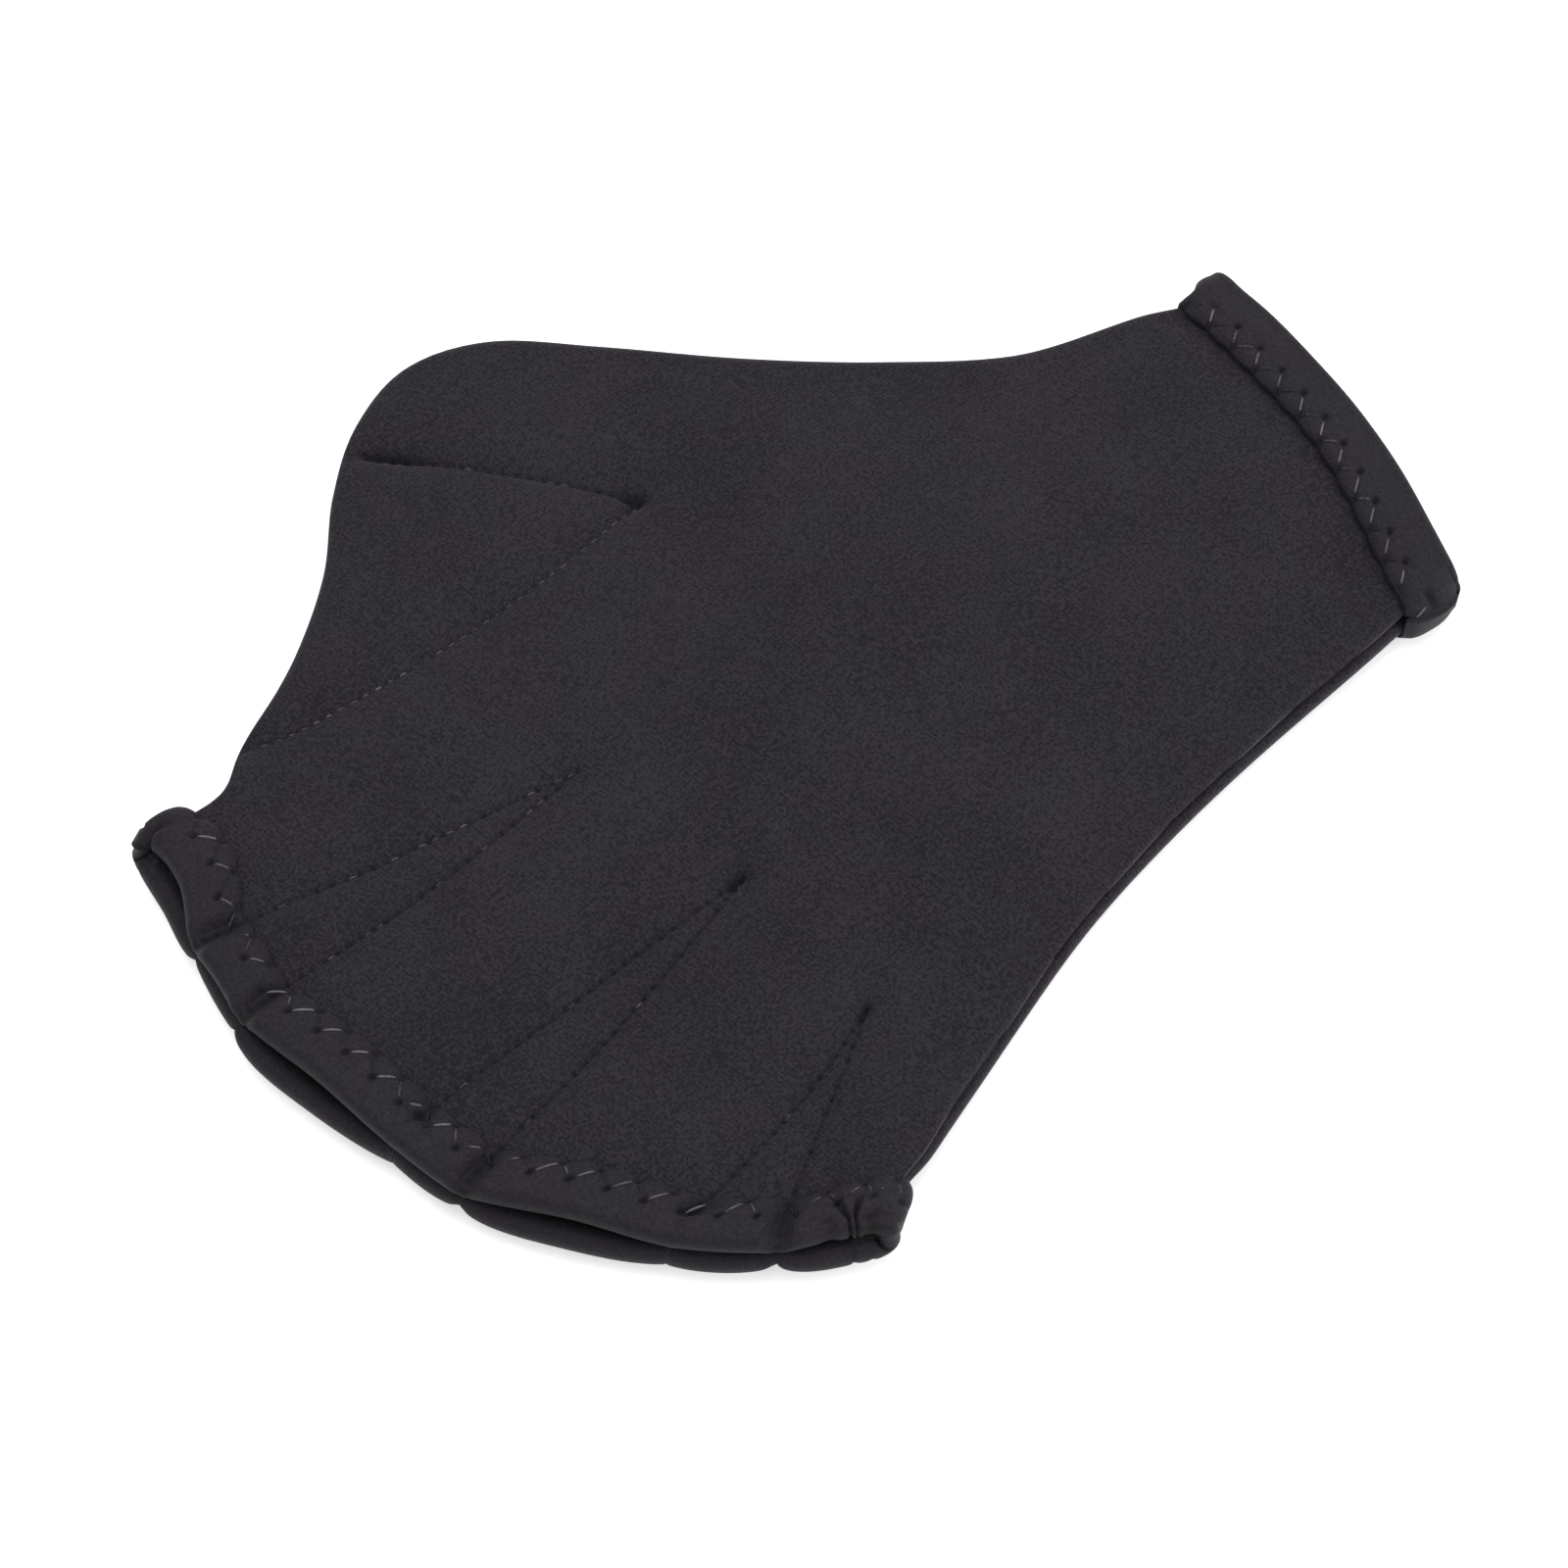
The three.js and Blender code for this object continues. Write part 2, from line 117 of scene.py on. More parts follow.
def nearest_on(chain, points):
    """Distance from each point to a chain, the nearest place on it and the length along it there."""
    best = np.full(len(points), np.inf)
    place, along = np.zeros_like(points), np.zeros(len(points))
    run = 0.0
    for a, b in zip(chain, chain[1:]):
        leg = b - a
        size = np.linalg.norm(leg)
        share = np.clip((points - a) @ leg / size**2, 0, 1)
        foot = a + share[:, None] * leg
        distance = np.linalg.norm(points - foot, axis=1)
        closer = distance < best
        best = np.where(closer, distance, best)
        place[closer] = foot[closer]
        along = np.where(closer, run + share * size, along)
        run += size
    return best, place, along


# The rows of stitches
# Lockstitch through both panels in long V shapes: one V bounds the thumb, three bound the fingers' webs.
# Each row starts at its V's apex and ends at a mouth or short of a side by its inset. bow bends it sideways,
# as a share of its length. Two rows let go of the lips, from so many millimetres before the mouth. pits
# says how dark a row's needle holes are.

stitch_rows = [
    dict(apex=(0.012, -0.235), side=0.657, inset=3.6, bow=-0.022, pits=0.75),
    dict(apex=(0.012, -0.235), side=0.9, bow=0.045, pits=0.2),
    dict(apex=(0.19, -0.035), mouth=0.149, bow=0),
    dict(apex=(0.19, -0.035), mouth=0.25, bow=0.016),
    dict(apex=(0.149, 0.143), mouth=0.467, bow=-0.01, lets_go=7),
    dict(apex=(0.149, 0.143), mouth=0.557, bow=0.016),
    dict(apex=(0.144, 0.311), mouth=0.768, bow=0.038, lets_go=7),
    dict(apex=(0.144, 0.311), mouth=0.886, bow=0),
]
row_pitch, usual_pits = 2.4, 0.95
hole_reach, hole_depth = 0.46, 0.45
groove_reach, groove_depth = 0.45, 0.14


def row_chain(row, count=40):
    apex = np.array(row["apex"]) * [glove_length, glove_width]
    end = finger_line.at(row["mouth"]) if "mouth" in row else thumb_line.at(row["side"])
    run = (end - apex) * (1 - row.get("inset", 0) / np.linalg.norm(end - apex))
    sideways = np.array([-run[1], run[0]])
    share = np.linspace(0, 1, count + 1)[:, None]
    return apex + run * share + sideways * row["bow"] * 4 * share * (1 - share)


def row_measure(chain):
    """The length along a row at each of its points, and its stitches' own length."""
    lengths = np.concatenate([[0], np.cumsum(np.linalg.norm(np.diff(chain, axis=0), axis=1))])
    return lengths, lengths[-1] / int(lengths[-1] / row_pitch)


row_chains = [row_chain(row) for row in stitch_rows]
pinch_places = [0, *(row["mouth"] for row in stitch_rows if "mouth" in row), 1]

# The two panels
# Neoprene sheet 2 mm thick with a knit face. Each is folded in along both sides, so the glove's side
# edges are two stacked rolls with the seam between them. The sheet is pulled down along every row, lies
# lower near the finger mouths, and the upper roll is drawn in a little on the little finger's side.

# The sheet stands up by swell between the rows, and by palm_rise where rows and sides are far away. It is
# lifted over the hems' rise within lift_reach of them.
sheet, seam_gap, hem_gap = 2.0, 0.3, 0.3
swell, palm_rise, palm_reach, stitch_reach, lift_reach = 2.8, 4.0, 20.0, 3.0, 28.0
side_draw, side_waver = 0.85, 0.15
palm_at_wrist, fullness, freed_row = 0.35, 1.15, 14
wrist_hem_width, finger_hem_width = 12.4, 9.4
lip_draw, lip_bulge = 1.2, 1.3
allowance_flat, allowance_end = 2.8, 5.2
hem_rise = sheet + hem_gap
seam_height = sheet + swell + seam_gap / 2

# The share of the swell that is left near the mouths and elsewhere, for each panel: 1 upper, -1 lower.
mouth_rest, channel_rest = {1: 0.1, -1: 0.08}, {1: 0.45, -1: 0.85}
# Each stretch of a finger lip between two pinches: where along the mouth it ends, how far it is drawn back
# or bulges out, and how much its middle is skewed to the thumb's side.
mouth_opening = {
    1: [(0.149, 2.1, 0.55), (0.25, 0.8, 1), (0.557, 1.05, 0.6), (0.886, 1.1, 0.75), (1, 0.8, 1)],
    -1: [
        (0.149, 1.5, 1.2), (0.25, 0, 1), (0.467, 1.75, 0.7), (0.557, 0.3, 1), (0.768, 1.6, 0.95),
        (0.886, 0.65, 1), (1, 1.7, 1),
    ],
}
# How far out the lower lip stands at the mouth's two ends and at each pinch between them.
lower_lip_stands = [0.3, -0.1, 0.5, -0.35, 0.2, -0.3, 0.5, 0.3]
# The most that painted shade darkens a place.
darkest_painted_shade = 0.9


def smooth(low, high, value):
    share = np.clip((value - low) / (high - low), 0, 1)
    return share * share * (3 - 2 * share)


def bell(distance, reach):
    return np.exp(-((distance / reach) ** 2))


def lip_back(v, facing):
    """How far back a finger lip lies at each place. The upper lip isn't drawn back where a row pinches it,
    and the lower one mostly bulges out, which counts as less than nothing."""
    opened, start = np.zeros_like(v), 0.0
    for end, amount, skew in mouth_opening[facing]:
        inside = (v >= start) & (v <= end)
        part = np.clip((v - start) / (end - start), 0, 1) ** skew
        opened = np.where(inside, amount * np.sin(np.pi * part) ** 0.7, opened)
        start = end
    if facing > 0:
        return lip_draw * opened
    return -lip_bulge * (np.interp(v, pinch_places, lower_lip_stands) + 0.75 * opened)


# Shallow hollows and crests where the sheet doesn't lie quite flat: their place as shares of length and
# width, their reach along and across in millimetres, their turn in degrees and their height.
soft_dents = [
    ((-0.2, 0.12), (34, 16), 20, -0.5),
    ((-0.33, 0.02), (20, 9), 70, 0.35),
    ((0.02, 0.08), (30, 18), -35, 0.45),
    ((0.1, -0.12), (24, 11), 25, -0.4),
    ((-0.05, 0.27), (34, 8), 12, -0.45),
    ((0.3, -0.1), (26, 6), 4, -0.3),
    ((0.33, 0.09), (24, 8), 10, 0.25),
    ((0.27, 0.25), (20, 8), 24, -0.25),
    ((0.12, 0.4), (26, 6), 30, 0.3),
]


def dent_relief(points):
    total = np.zeros(len(points))
    for place, (along, across), turn, height in soft_dents:
        offset = points - np.array(place) * [glove_length, glove_width]
        c, s = math.cos(math.radians(turn)), math.sin(math.radians(turn))
        a = (offset[:, 0] * c + offset[:, 1] * s) / along
        b = (offset[:, 1] * c - offset[:, 0] * s) / across
        total += height * np.exp(-(a * a + b * b))
    return total


# Tight puckers at the ends of the rows: which row, where along it, their reach along and across, and depth.
puckers = [
    (0, 0.02, (2.6, 1.3), 1.5),
    (1, 0.03, (2.2, 1.1), 0.9),
    (0, 0.9, (6.0, 0.9), 1.5),
    (4, 0.02, (2.4, 1.0), 1.2),
    (5, 0.02, (1.6, 0.9), 0.7),
    (6, 0.02, (2.2, 0.8), 0.9),
    (7, 0.02, (1.6, 0.8), 0.6),
    (2, 0.02, (1.4, 0.8), 0.4),
]


def pucker_relief(points):
    total = np.zeros(len(points))
    for row, share, (along, across), depth in puckers:
        chain = row_chains[row]
        index = round(share * (len(chain) - 1))
        forward = chain[min(index + 1, len(chain) - 1)] - chain[max(index - 1, 0)]
        forward /= np.linalg.norm(forward)
        offset = points - chain[index]
        a = offset @ forward / along
        b = offset @ np.array([-forward[1], forward[0]]) / across
        total -= depth * np.exp(-(a * a + b * b))
    return total


def drawn_in(share, facing):
    """How far the upper panel's roll stands back from the little finger's side seam along it."""
    ends = smooth(0, 0.1, share) * smooth(0, 0.12, 1 - share)
    return (facing > 0) * side_draw * ends * (1 - side_waver + side_waver * np.sin(31 * share))


def lay_of(points, v, facing):
    """How the sheet lies at each place: its rises, its lift over the hems and where its side seam is."""
    sides = [list(nearest_on(chain, points)) for chain in side_chains]
    sides[1][0] = np.maximum(0, sides[1][0] - drawn_in(sides[1][2] / little_line.length, facing))
    thumb_nearer = sides[0][0] < sides[1][0]
    side_distance = np.where(thumb_nearer, sides[0][0], sides[1][0])
    foot = np.where(thumb_nearer[:, None], sides[0][1], sides[1][1])
    outward = foot - points
    size = np.linalg.norm(outward, axis=1)
    on_seam = (size < 1e-3) | (v <= 0) | (v >= 1)
    outward /= np.maximum(size, 1e-9)[:, None]
    for chain, sign in ((side_chains[0], -1), (side_chains[1], 1)):
        mine = on_seam & ((v < 0.5) == (sign < 0))
        if mine.any():
            index = np.argmin(((points[mine][:, None] - chain[None, 1:-1]) ** 2).sum(2), axis=1) + 1
            forward = chain[index + 1] - chain[index - 1]
            square = np.stack([-forward[:, 1], forward[:, 0]], axis=1)
            square /= np.linalg.norm(square, axis=1)[:, None]
            outward[mine] = square * np.where(square[:, 1] * sign < 0, -1, 1)[:, None]
    side_distance = np.where((v <= 0) | (v >= 1), 0, side_distance)
    rows = [nearest_on(chain, points) for chain in row_chains]
    row_distance = np.array([row[0] for row in rows])
    from_fingers = np.linalg.norm(points - pattern_point(1.0, v), axis=1)
    from_wrist = np.linalg.norm(points - pattern_point(0.0, v), axis=1)
    for index, row in enumerate(stitch_rows):
        if "lets_go" in row:
            row_distance[index] += freed_row * (1 - smooth(1.5, row["lets_go"], from_fingers))
    held = np.minimum(1, fullness * np.prod(1 - np.exp(-row_distance / stitch_reach), axis=0))
    near_fingers = 1 - smooth(finger_hem_width + 2, finger_hem_width + lift_reach, from_fingers)
    near_wrist = 1 - smooth(wrist_hem_width + 2, wrist_hem_width + lift_reach, from_wrist)
    lift = hem_rise * np.maximum(near_fingers, near_wrist)
    wrist_ease = palm_at_wrist + (1 - palm_at_wrist) * smooth(0, 3 * wrist_hem_width, from_wrist)
    spans = np.vstack([sides[0][0], sides[1][0], row_distance])
    palm = palm_rise * wrist_ease * np.prod(1 - bell(spans, palm_reach), axis=0)
    in_rim = np.clip(1 - side_distance / sheet, 0, 1)
    return dict(
        side=side_distance, outward=outward, nearest_row=row_distance.min(axis=0), relief=swell * held,
        palm=palm, lift=lift, in_rim=in_rim, round=np.sqrt(1 - in_rim**2), from_fingers=from_fingers,
        from_wrist=from_wrist,
    )


def needle_marks(points):
    """Where the needle went through at each end of every stitch, and the line that the thread presses."""
    holes, lines = np.zeros(len(points)), np.zeros(len(points))
    for row, chain in zip(stitch_rows, row_chains):
        distance, _, along = nearest_on(chain, points)
        _, pitch = row_measure(chain)
        phase = (along / pitch) % 1
        hole = np.hypot(distance, np.minimum(phase, 1 - phase) * pitch)
        pit = bell(hole, hole_reach) * (0.75 + 0.25 * np.sin(along * 1.9))
        holes = np.maximum(holes, row.get("pits", usual_pits) * pit)
        lines = np.maximum(lines, bell(distance, groove_reach))
    return holes, lines


def faces_of_sheet(points, v, facing):
    """The outer and inner face of the upper panel, where facing is 1, or of the lower, and its lay."""
    lay = lay_of(points, v, facing)
    near_mouth = 1 - smooth(5, 30, lay["from_fingers"])
    rise = lay["relief"] * (channel_rest[facing] * (1 - near_mouth) + mouth_rest[facing] * near_mouth)
    dents = dent_relief(points) * (1 - bell(lay["nearest_row"], 3))
    rise = rise + (lay["palm"] + dents if facing > 0 else -0.3 * np.abs(dents))
    holes, lines = needle_marks(points)
    drawn = pucker_relief(points)
    surface = drawn - hole_depth * holes - groove_depth * lines
    seam = seam_height + lay["lift"]
    clear = smooth(allowance_flat, allowance_end, lay["side"])
    outer = seam_gap / 2 + sheet + (rise + surface) * lay["round"]
    inner = seam_gap / 2 + sheet * (1 - lay["round"]) + (rise + 0.6 * surface) * clear
    inner = np.where(lay["in_rim"] > 0.999, outer, inner)
    # Painted shade in the needle holes, along the stitch grooves and in the puckers.
    lay["depth"] = np.clip(holes + 0.1 * lines - 0.4 * drawn, 0, darkest_painted_shade)
    outer = np.column_stack([points, seam + facing * outer])
    inner = np.column_stack([points, seam + facing * inner])
    return outer, inner, lay


# Where the folded corners of the mouths leave the pattern's outline: a place on it, how far round there the
# cloth is moved, and by how much, all in millimetres.
corner_pulls = [
    ((-96.2, -19.5), 3.6, (-1.7, 2.9)),
    ((-105.3, -17.0), 4.5, (-0.9, -0.9)),
    ((-108.3, 10.8), 24.0, (-0.6, 0)),
    ((-70.0, -27.0), 20.0, (-0.1, -1.05)),
    ((77.0, -47.2), 9.0, (-0.7, 0.7)),
    ((86.3, -41.6), 5.0, (0.6, -0.6)),
    ((47.5, 89.0), 6.0, (0.7, -0.8)),
    ((106.5, -43.0), 6.0, (-0.2, 0.9)),
    ((96.5, -44.5), 5.0, (0.4, 0.7)),
    ((-93.0, 58.0), 4.0, (0.2, 0.8)),
    ((45.5, 84.5), 4.0, (0.8, -0.6)),
    ((55.2, 90.0), 4.5, (0.45, 0.55)),
    ((-89.5, 58.5), 5.0, (-0.7, 1.4)),
]


def settled(points):
    """Points of the pattern, moved as the folded corners are drawn in or stand proud."""
    moved = np.array(points, float)
    for place, reach, pull in corner_pulls:
        away = np.linalg.norm(moved[:, :2] - place, axis=1)
        moved[:, :2] += bell(away, reach)[:, None] * pull
    return moved


def mesh_piece(name, points, faces, material, depth):
    """A piece from points in millimetres of the pattern and its faces, with the painted shade of its marks
    and the black core of cut edges, kept as "depth".
    """
    placed = (settled(points) + [*pattern_shift, 0]) * mm
    mesh = bpy.data.meshes.new(name)
    mesh.from_pydata(placed.tolist(), [], faces)
    mesh.materials.append(material)
    mesh.polygons.foreach_set("use_smooth", [True] * len(mesh.polygons))
    painted_shade_and_core = mesh.attributes.new("depth", "FLOAT", "POINT")
    painted_shade_and_core.data.foreach_set("value", np.asarray(depth, np.float32))
    mesh.update()
    piece = bpy.data.objects.new(name, mesh)
    bpy.context.scene.collection.objects.link(piece)
    return piece


# How far in from a side fold the first points of the panels' grid are.
rim_steps = np.array([0, 0.12, 0.35, 0.7, 1.1, 1.5, 1.9, 2.3, 2.9, 3.7, 4.6, 5.6])
panel_rows, panel_columns = 200, 150


def mouth_pace(at_fingers, v):
    """Millimetres in from a mouth for one unit of u."""
    end, inside = (1.0, 0.99) if at_fingers else (0.0, 0.01)
    return np.linalg.norm(pattern_point(inside, v) - pattern_point(end, v), axis=-1) / 0.01


def panel_shares(facing):
    """u and v of the panel's even grid, close together round its side folds."""
    u_guess = np.linspace(0, 1, panel_rows)
    width = np.linalg.norm(pattern_point(u_guess, 1.0) - pattern_point(u_guess, 0.0), axis=1)
    rim = rim_steps[None] / width[:, None]
    middle = np.linspace(0, 1, panel_columns + 1)[None, 1:-1]
    inside = rim[:, -1:] + (1 - 2 * rim[:, -1:]) * middle
    v = np.hstack([rim, inside, 1 - rim[:, ::-1]])
    v = v * (1 - drawn_in(u_guess, facing)[:, None] / width[:, None])
    first = hem_rise / mouth_pace(False, v)
    last = 1 - (hem_rise + lip_back(v, facing)) / mouth_pace(True, v)
    return first + (last - first) * u_guess[:, None], v


# The zigzag of each hem: its pitch, where it starts along the mouth, and how far its needle points are
# in from the raw edge. The raw edge bulges a little between them, and the wrist's hem is narrower on the
# thumb's half.
thumb_half_narrower, edge_scallop, edge_waver = 1.7, 0.5, 0.25
hem_sizes = {
    "wrist": dict(line=wrist_line, width=wrist_hem_width, pitch=5.72, start=2.2, inner=0.2, outer=4.0),
    "fingers": dict(line=finger_line, width=finger_hem_width, pitch=6.1, start=2.6, inner=0.45, outer=4.2),
}


def raw_edge(hem, v):
    """How far from the mouth the hem's raw edge lies at each place along it."""
    size = hem_sizes[hem]
    along = v * size["line"].length
    scallop = np.abs(np.sin(np.pi * (along - size["start"]) / size["pitch"]))
    narrower = thumb_half_narrower * (1 - smooth(0.5, 1, v)) if hem == "wrist" else 0
    return size["width"] - narrower + edge_scallop * scallop - 0.15 + edge_waver * np.sin(along / 7)


def neoprene_panel(name, facing, material):
    u, v = panel_shares(facing)
    rows, columns = u.shape
    flat = pattern_point(u, v).reshape(-1, 2)
    v = v.reshape(-1)
    index = np.arange(rows * columns).reshape(rows, columns)
    quads = np.stack([index[:-1, :-1], index[1:, :-1], index[1:, 1:], index[:-1, 1:]], axis=-1)
    quads = quads.reshape(-1, 4)

    # The outer face is divided finer along the rows of stitches, where the dimples are small.
    bm = bmesh.new()
    share = bm.verts.layers.float.new("share")
    verts = [bm.verts.new((*point, 0)) for point in flat.tolist()]
    for vert, value in zip(verts, v.tolist()):
        vert[share] = value
    for quad in quads.tolist():
        bm.faces.new([verts[i] for i in quad])
    near = lay_of(flat, v, facing)["nearest_row"] < 1.9
    inner_edges = [edge for edge in bm.edges if not edge.is_boundary]
    bm.verts.index_update()
    fine = [edge for edge in inner_edges if near[edge.verts[0].index] and near[edge.verts[1].index]]
    bmesh.ops.subdivide_edges(bm, edges=fine, cuts=2, use_grid_fill=True)
    bm.verts.index_update()
    outer_flat = np.array([vert.co[:2] for vert in bm.verts])
    outer_share = np.array([vert[share] for vert in bm.verts])
    outer_faces = [[vert.index for vert in face.verts] for face in bm.faces]
    bm.free()

    outer, _, lay = faces_of_sheet(outer_flat, outer_share, facing)
    # The panel is in the shade along the hems' raw edges.
    past_hem = np.minimum(
        lay["from_fingers"] - raw_edge("fingers", outer_share),
        lay["from_wrist"] - raw_edge("wrist", outer_share),
    )
    depth = np.maximum(lay["depth"], darkest_painted_shade * np.exp(-(np.maximum(past_hem, 0) / 0.4)))
    _, inner, inner_lay = faces_of_sheet(flat, v, facing)
    # The two faces share their points along both side folds.
    place = np.arange(len(flat)) + len(outer)
    sides = np.concatenate([index[:, 0], index[:, -1]])
    place[sides] = sides
    kept = np.ones(len(flat), bool)
    kept[sides] = False
    numbering = np.cumsum(kept) - 1 + len(outer)
    place = np.where(kept, numbering, place)
    faces = [face if facing > 0 else face[::-1] for face in outer_faces]
    for quad in quads.tolist():
        turned = [int(place[i]) for i in quad]
        faces.append(turned[::-1] if facing > 0 else turned)
    for end, order in ((index[0], 1), (index[-1], -1)):
        for a, b in zip(end.tolist(), end[1:].tolist()):
            strip = list(dict.fromkeys([a, b, int(place[b]), int(place[a])]))
            faces.append(strip[:: order * facing])
    # Inside the glove painted shade darkens the cloth from a few millimetres in from the mouths.
    from_mouth = np.minimum(inner_lay["from_fingers"], inner_lay["from_wrist"])
    from_light = 0.15 + 0.85 * smooth(3.0, 8.0, from_mouth)
    painted_inside_shade = darkest_painted_shade * smooth(1.0, 1.8, inner_lay["side"]) * from_light
    depth = np.concatenate([depth, painted_inside_shade[kept]])
    return mesh_piece(name, np.vstack([outer, inner[kept]]), faces, material, depth)


# The knit face: fine ribs that run across the hand, broken up by loops and by the yarn's own mottle.
rib_width, rib_turn = 0.75, -11.6


def knit_group():
    group = bpy.data.node_groups.new("knit face", "ShaderNodeTree")
    face = group.interface
    for name in ("Mottle", "Rib Depth"):
        face.new_socket(name, in_out="INPUT", socket_type="NodeSocketFloat")
    for name in ("Shade", "Height", "Cast"):
        face.new_socket(name, in_out="OUTPUT", socket_type="NodeSocketFloat")
    nodes, link = group.nodes, group.links.new
    inputs, outputs = nodes.new("NodeGroupInput"), nodes.new("NodeGroupOutput")

    def math_node(kind, *values):
        node = nodes.new("ShaderNodeMath")
        node.operation = kind
        for socket, value in zip(node.inputs, values):
            if isinstance(value, (int, float)):
                socket.default_value = value
            else:
                link(value, socket)
        return node.outputs[0]

    def noise(place, scale, detail, roughness=0.5):
        node = nodes.new("ShaderNodeTexNoise")
        for socket, value in (("Scale", scale), ("Detail", detail), ("Roughness", roughness)):
            node.inputs[socket].default_value = value
        link(place, node.inputs["Vector"])
        return node.outputs["Fac"]

    coordinates = nodes.new("ShaderNodeTexCoord").outputs["Object"]
    turned = nodes.new("ShaderNodeVectorRotate")
    turned.rotation_type = "Z_AXIS"
    turned.inputs["Angle"].default_value = math.radians(rib_turn)
    link(coordinates, turned.inputs["Vector"])
    split = nodes.new("ShaderNodeSeparateXYZ")
    link(turned.outputs[0], split.inputs[0])
    turns = 2 * math.pi / (rib_width * mm)
    across = math_node("MULTIPLY", split.outputs["X"], turns)
    across = math_node("ADD", across, math_node("MULTIPLY", noise(coordinates, 900, 2), 5.0))
    rib = math_node("SINE", across)
    along = math_node("MULTIPLY", split.outputs["Y"], 0.83 * turns)
    loops = math_node("SINE", math_node("ADD", along, math_node("MULTIPLY", rib, 1.3)))
    knit = math_node("ADD", math_node("MULTIPLY", rib, 0.3), math_node("MULTIPLY", loops, 0.16))
    shifted = nodes.new("ShaderNodeVectorMath")
    shifted.inputs[1].default_value = (3.1, 1.7, 0.4)
    link(coordinates, shifted.inputs[0])
    patches = nodes.new("ShaderNodeMapRange")
    patches.inputs["From Min"].default_value = 0.4
    patches.inputs["From Max"].default_value = 0.62
    link(noise(shifted.outputs[0], 62, 4, 0.65), patches.inputs["Value"])
    link(patches.outputs["Result"], outputs.inputs["Cast"])
    speck = math_node("SUBTRACT", noise(coordinates, 1800, 3, 0.6), 0.5)
    drift = math_node("SUBTRACT", noise(coordinates, 55, 3), 0.5)
    mottle = math_node("ADD", math_node("MULTIPLY", speck, 3.4), math_node("MULTIPLY", drift, 0.7))
    mottle = math_node("MULTIPLY", mottle, inputs.outputs["Mottle"])
    knit = math_node("MULTIPLY", knit, inputs.outputs["Rib Depth"])
    shade = math_node("ADD", 0.5, math_node("ADD", mottle, math_node("MULTIPLY", knit, 0.55)))
    link(shade, outputs.inputs["Shade"])
    link(math_node("ADD", knit, math_node("MULTIPLY", speck, 1.6)), outputs.inputs["Height"])
    return group


knit_face = knit_group()
# The sockets of a node that mixes two colours.
mix_share, mix_first, mix_second, mix_result = 0, 6, 7, 2


def neoprene(name, dark, light, mottle, rib_depth, roughness, bump, fluff):
    """A knit-faced neoprene. dark and light are the ends of the yarn's colour; painted shade in its marks,
    and the black core of cut edges, mix it towards near-black.
    """
    material = bpy.data.materials.new(name)
    material.use_nodes = True
    nodes, link = material.node_tree.nodes, material.node_tree.links.new
    shader = nodes["Principled BSDF"]
    knit = nodes.new("ShaderNodeGroup")
    knit.node_tree = knit_face
    knit.inputs["Mottle"].default_value = mottle
    knit.inputs["Rib Depth"].default_value = rib_depth
    colours = nodes.new("ShaderNodeValToRGB")
    for element, position, colour in zip(colours.color_ramp.elements, (0.1, 0.9), (dark, light)):
        element.position, element.color = position, (*colour, 1)
    link(knit.outputs["Shade"], colours.inputs["Fac"])
    casts = nodes.new("ShaderNodeMix")
    casts.data_type = "RGBA"
    casts.blend_type = "MULTIPLY"
    casts.inputs[mix_second].default_value = (1.12, 0.93, 1.0, 1)
    link(knit.outputs["Cast"], casts.inputs[mix_share])
    link(colours.outputs["Color"], casts.inputs[mix_first])
    # The "depth" attribute carries painted shade and the black core of cut edges, and mixes the colour
    # towards the near-black below.
    painted_shade_and_core = nodes.new("ShaderNodeAttribute")
    painted_shade_and_core.attribute_name = "depth"
    shaded = nodes.new("ShaderNodeMix")
    shaded.data_type = "RGBA"
    shaded.inputs[mix_second].default_value = (0.0025, 0.002, 0.003, 1)
    link(painted_shade_and_core.outputs["Fac"], shaded.inputs[mix_share])
    link(casts.outputs[mix_result], shaded.inputs[mix_first])
    link(shaded.outputs[mix_result], shader.inputs["Base Color"])
    relief = nodes.new("ShaderNodeBump")
    relief.inputs["Strength"].default_value = bump
    relief.inputs["Distance"].default_value = 0.12 * mm
    link(knit.outputs["Height"], relief.inputs["Height"])
    link(relief.outputs["Normal"], shader.inputs["Normal"])
    shader.inputs["Roughness"].default_value = roughness
    shader.inputs["Specular IOR Level"].default_value = 0.18
    shader.inputs["Sheen Weight"].default_value = fluff
    shader.inputs["Sheen Roughness"].default_value = 0.45
    shader.inputs["Sheen Tint"].default_value = (0.75, 0.7, 0.78, 1)
    return material


panel_neoprene = neoprene(
    "panel neoprene", dark=(0.0068, 0.0066, 0.009), light=(0.0215, 0.0203, 0.0255),
    mottle=1.12, rib_depth=0.55, roughness=0.85, bump=0.8, fluff=0.14,
)
upper_panel = neoprene_panel("upper_panel_cloth", 1, panel_neoprene)
lower_panel = neoprene_panel("lower_panel_cloth", -1, panel_neoprene)
for piece, node in ((upper_panel, "upper_panel"), (lower_panel, "lower_panel")):
    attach(piece, "root")
    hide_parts(node)

# The two hems
# The panels' margins are folded outwards over the mouths, once the side seams are sewn, so each hem is
# one ring with the sheet's smoother inner face outside. A zigzag holds its raw edge, and where a row of
# stitches reaches the finger mouth both lips are pinched together and the hem creases up to the pinch.

inside_face = sheet + 0.1
pinch_squeeze, pinch_reach = 0.4, 3.0
crease_depth, crease_reach = 1.7, 1.25
ridge_height, ridge_place, ridge_reach = 0.45, 2.7, 1.0
roll_height, edge_press, press_reach = 0.55, 0.62, 0.1
leg_groove, leg_reach = 0.25, 0.5
needle_dent, needle_reach = 0.85, 0.6
thinnest, clean_cut, hidden_shade = 0.3, 0.004, 0.15
# How much painted shade darkens the needle holes, the creases and the cloth beside them, and how dark the raw
# edge's black core is.
hole_shade, crease_shade, beside_shade, edge_shade = darkest_painted_shade, 0.8, 0.35, 0.8
# How far in from a mouth the sections of a hem start after its raw edge.
edge_steps = np.concatenate([[0, 0.1, 0.3], np.arange(0.6, 5.0, 0.3)])


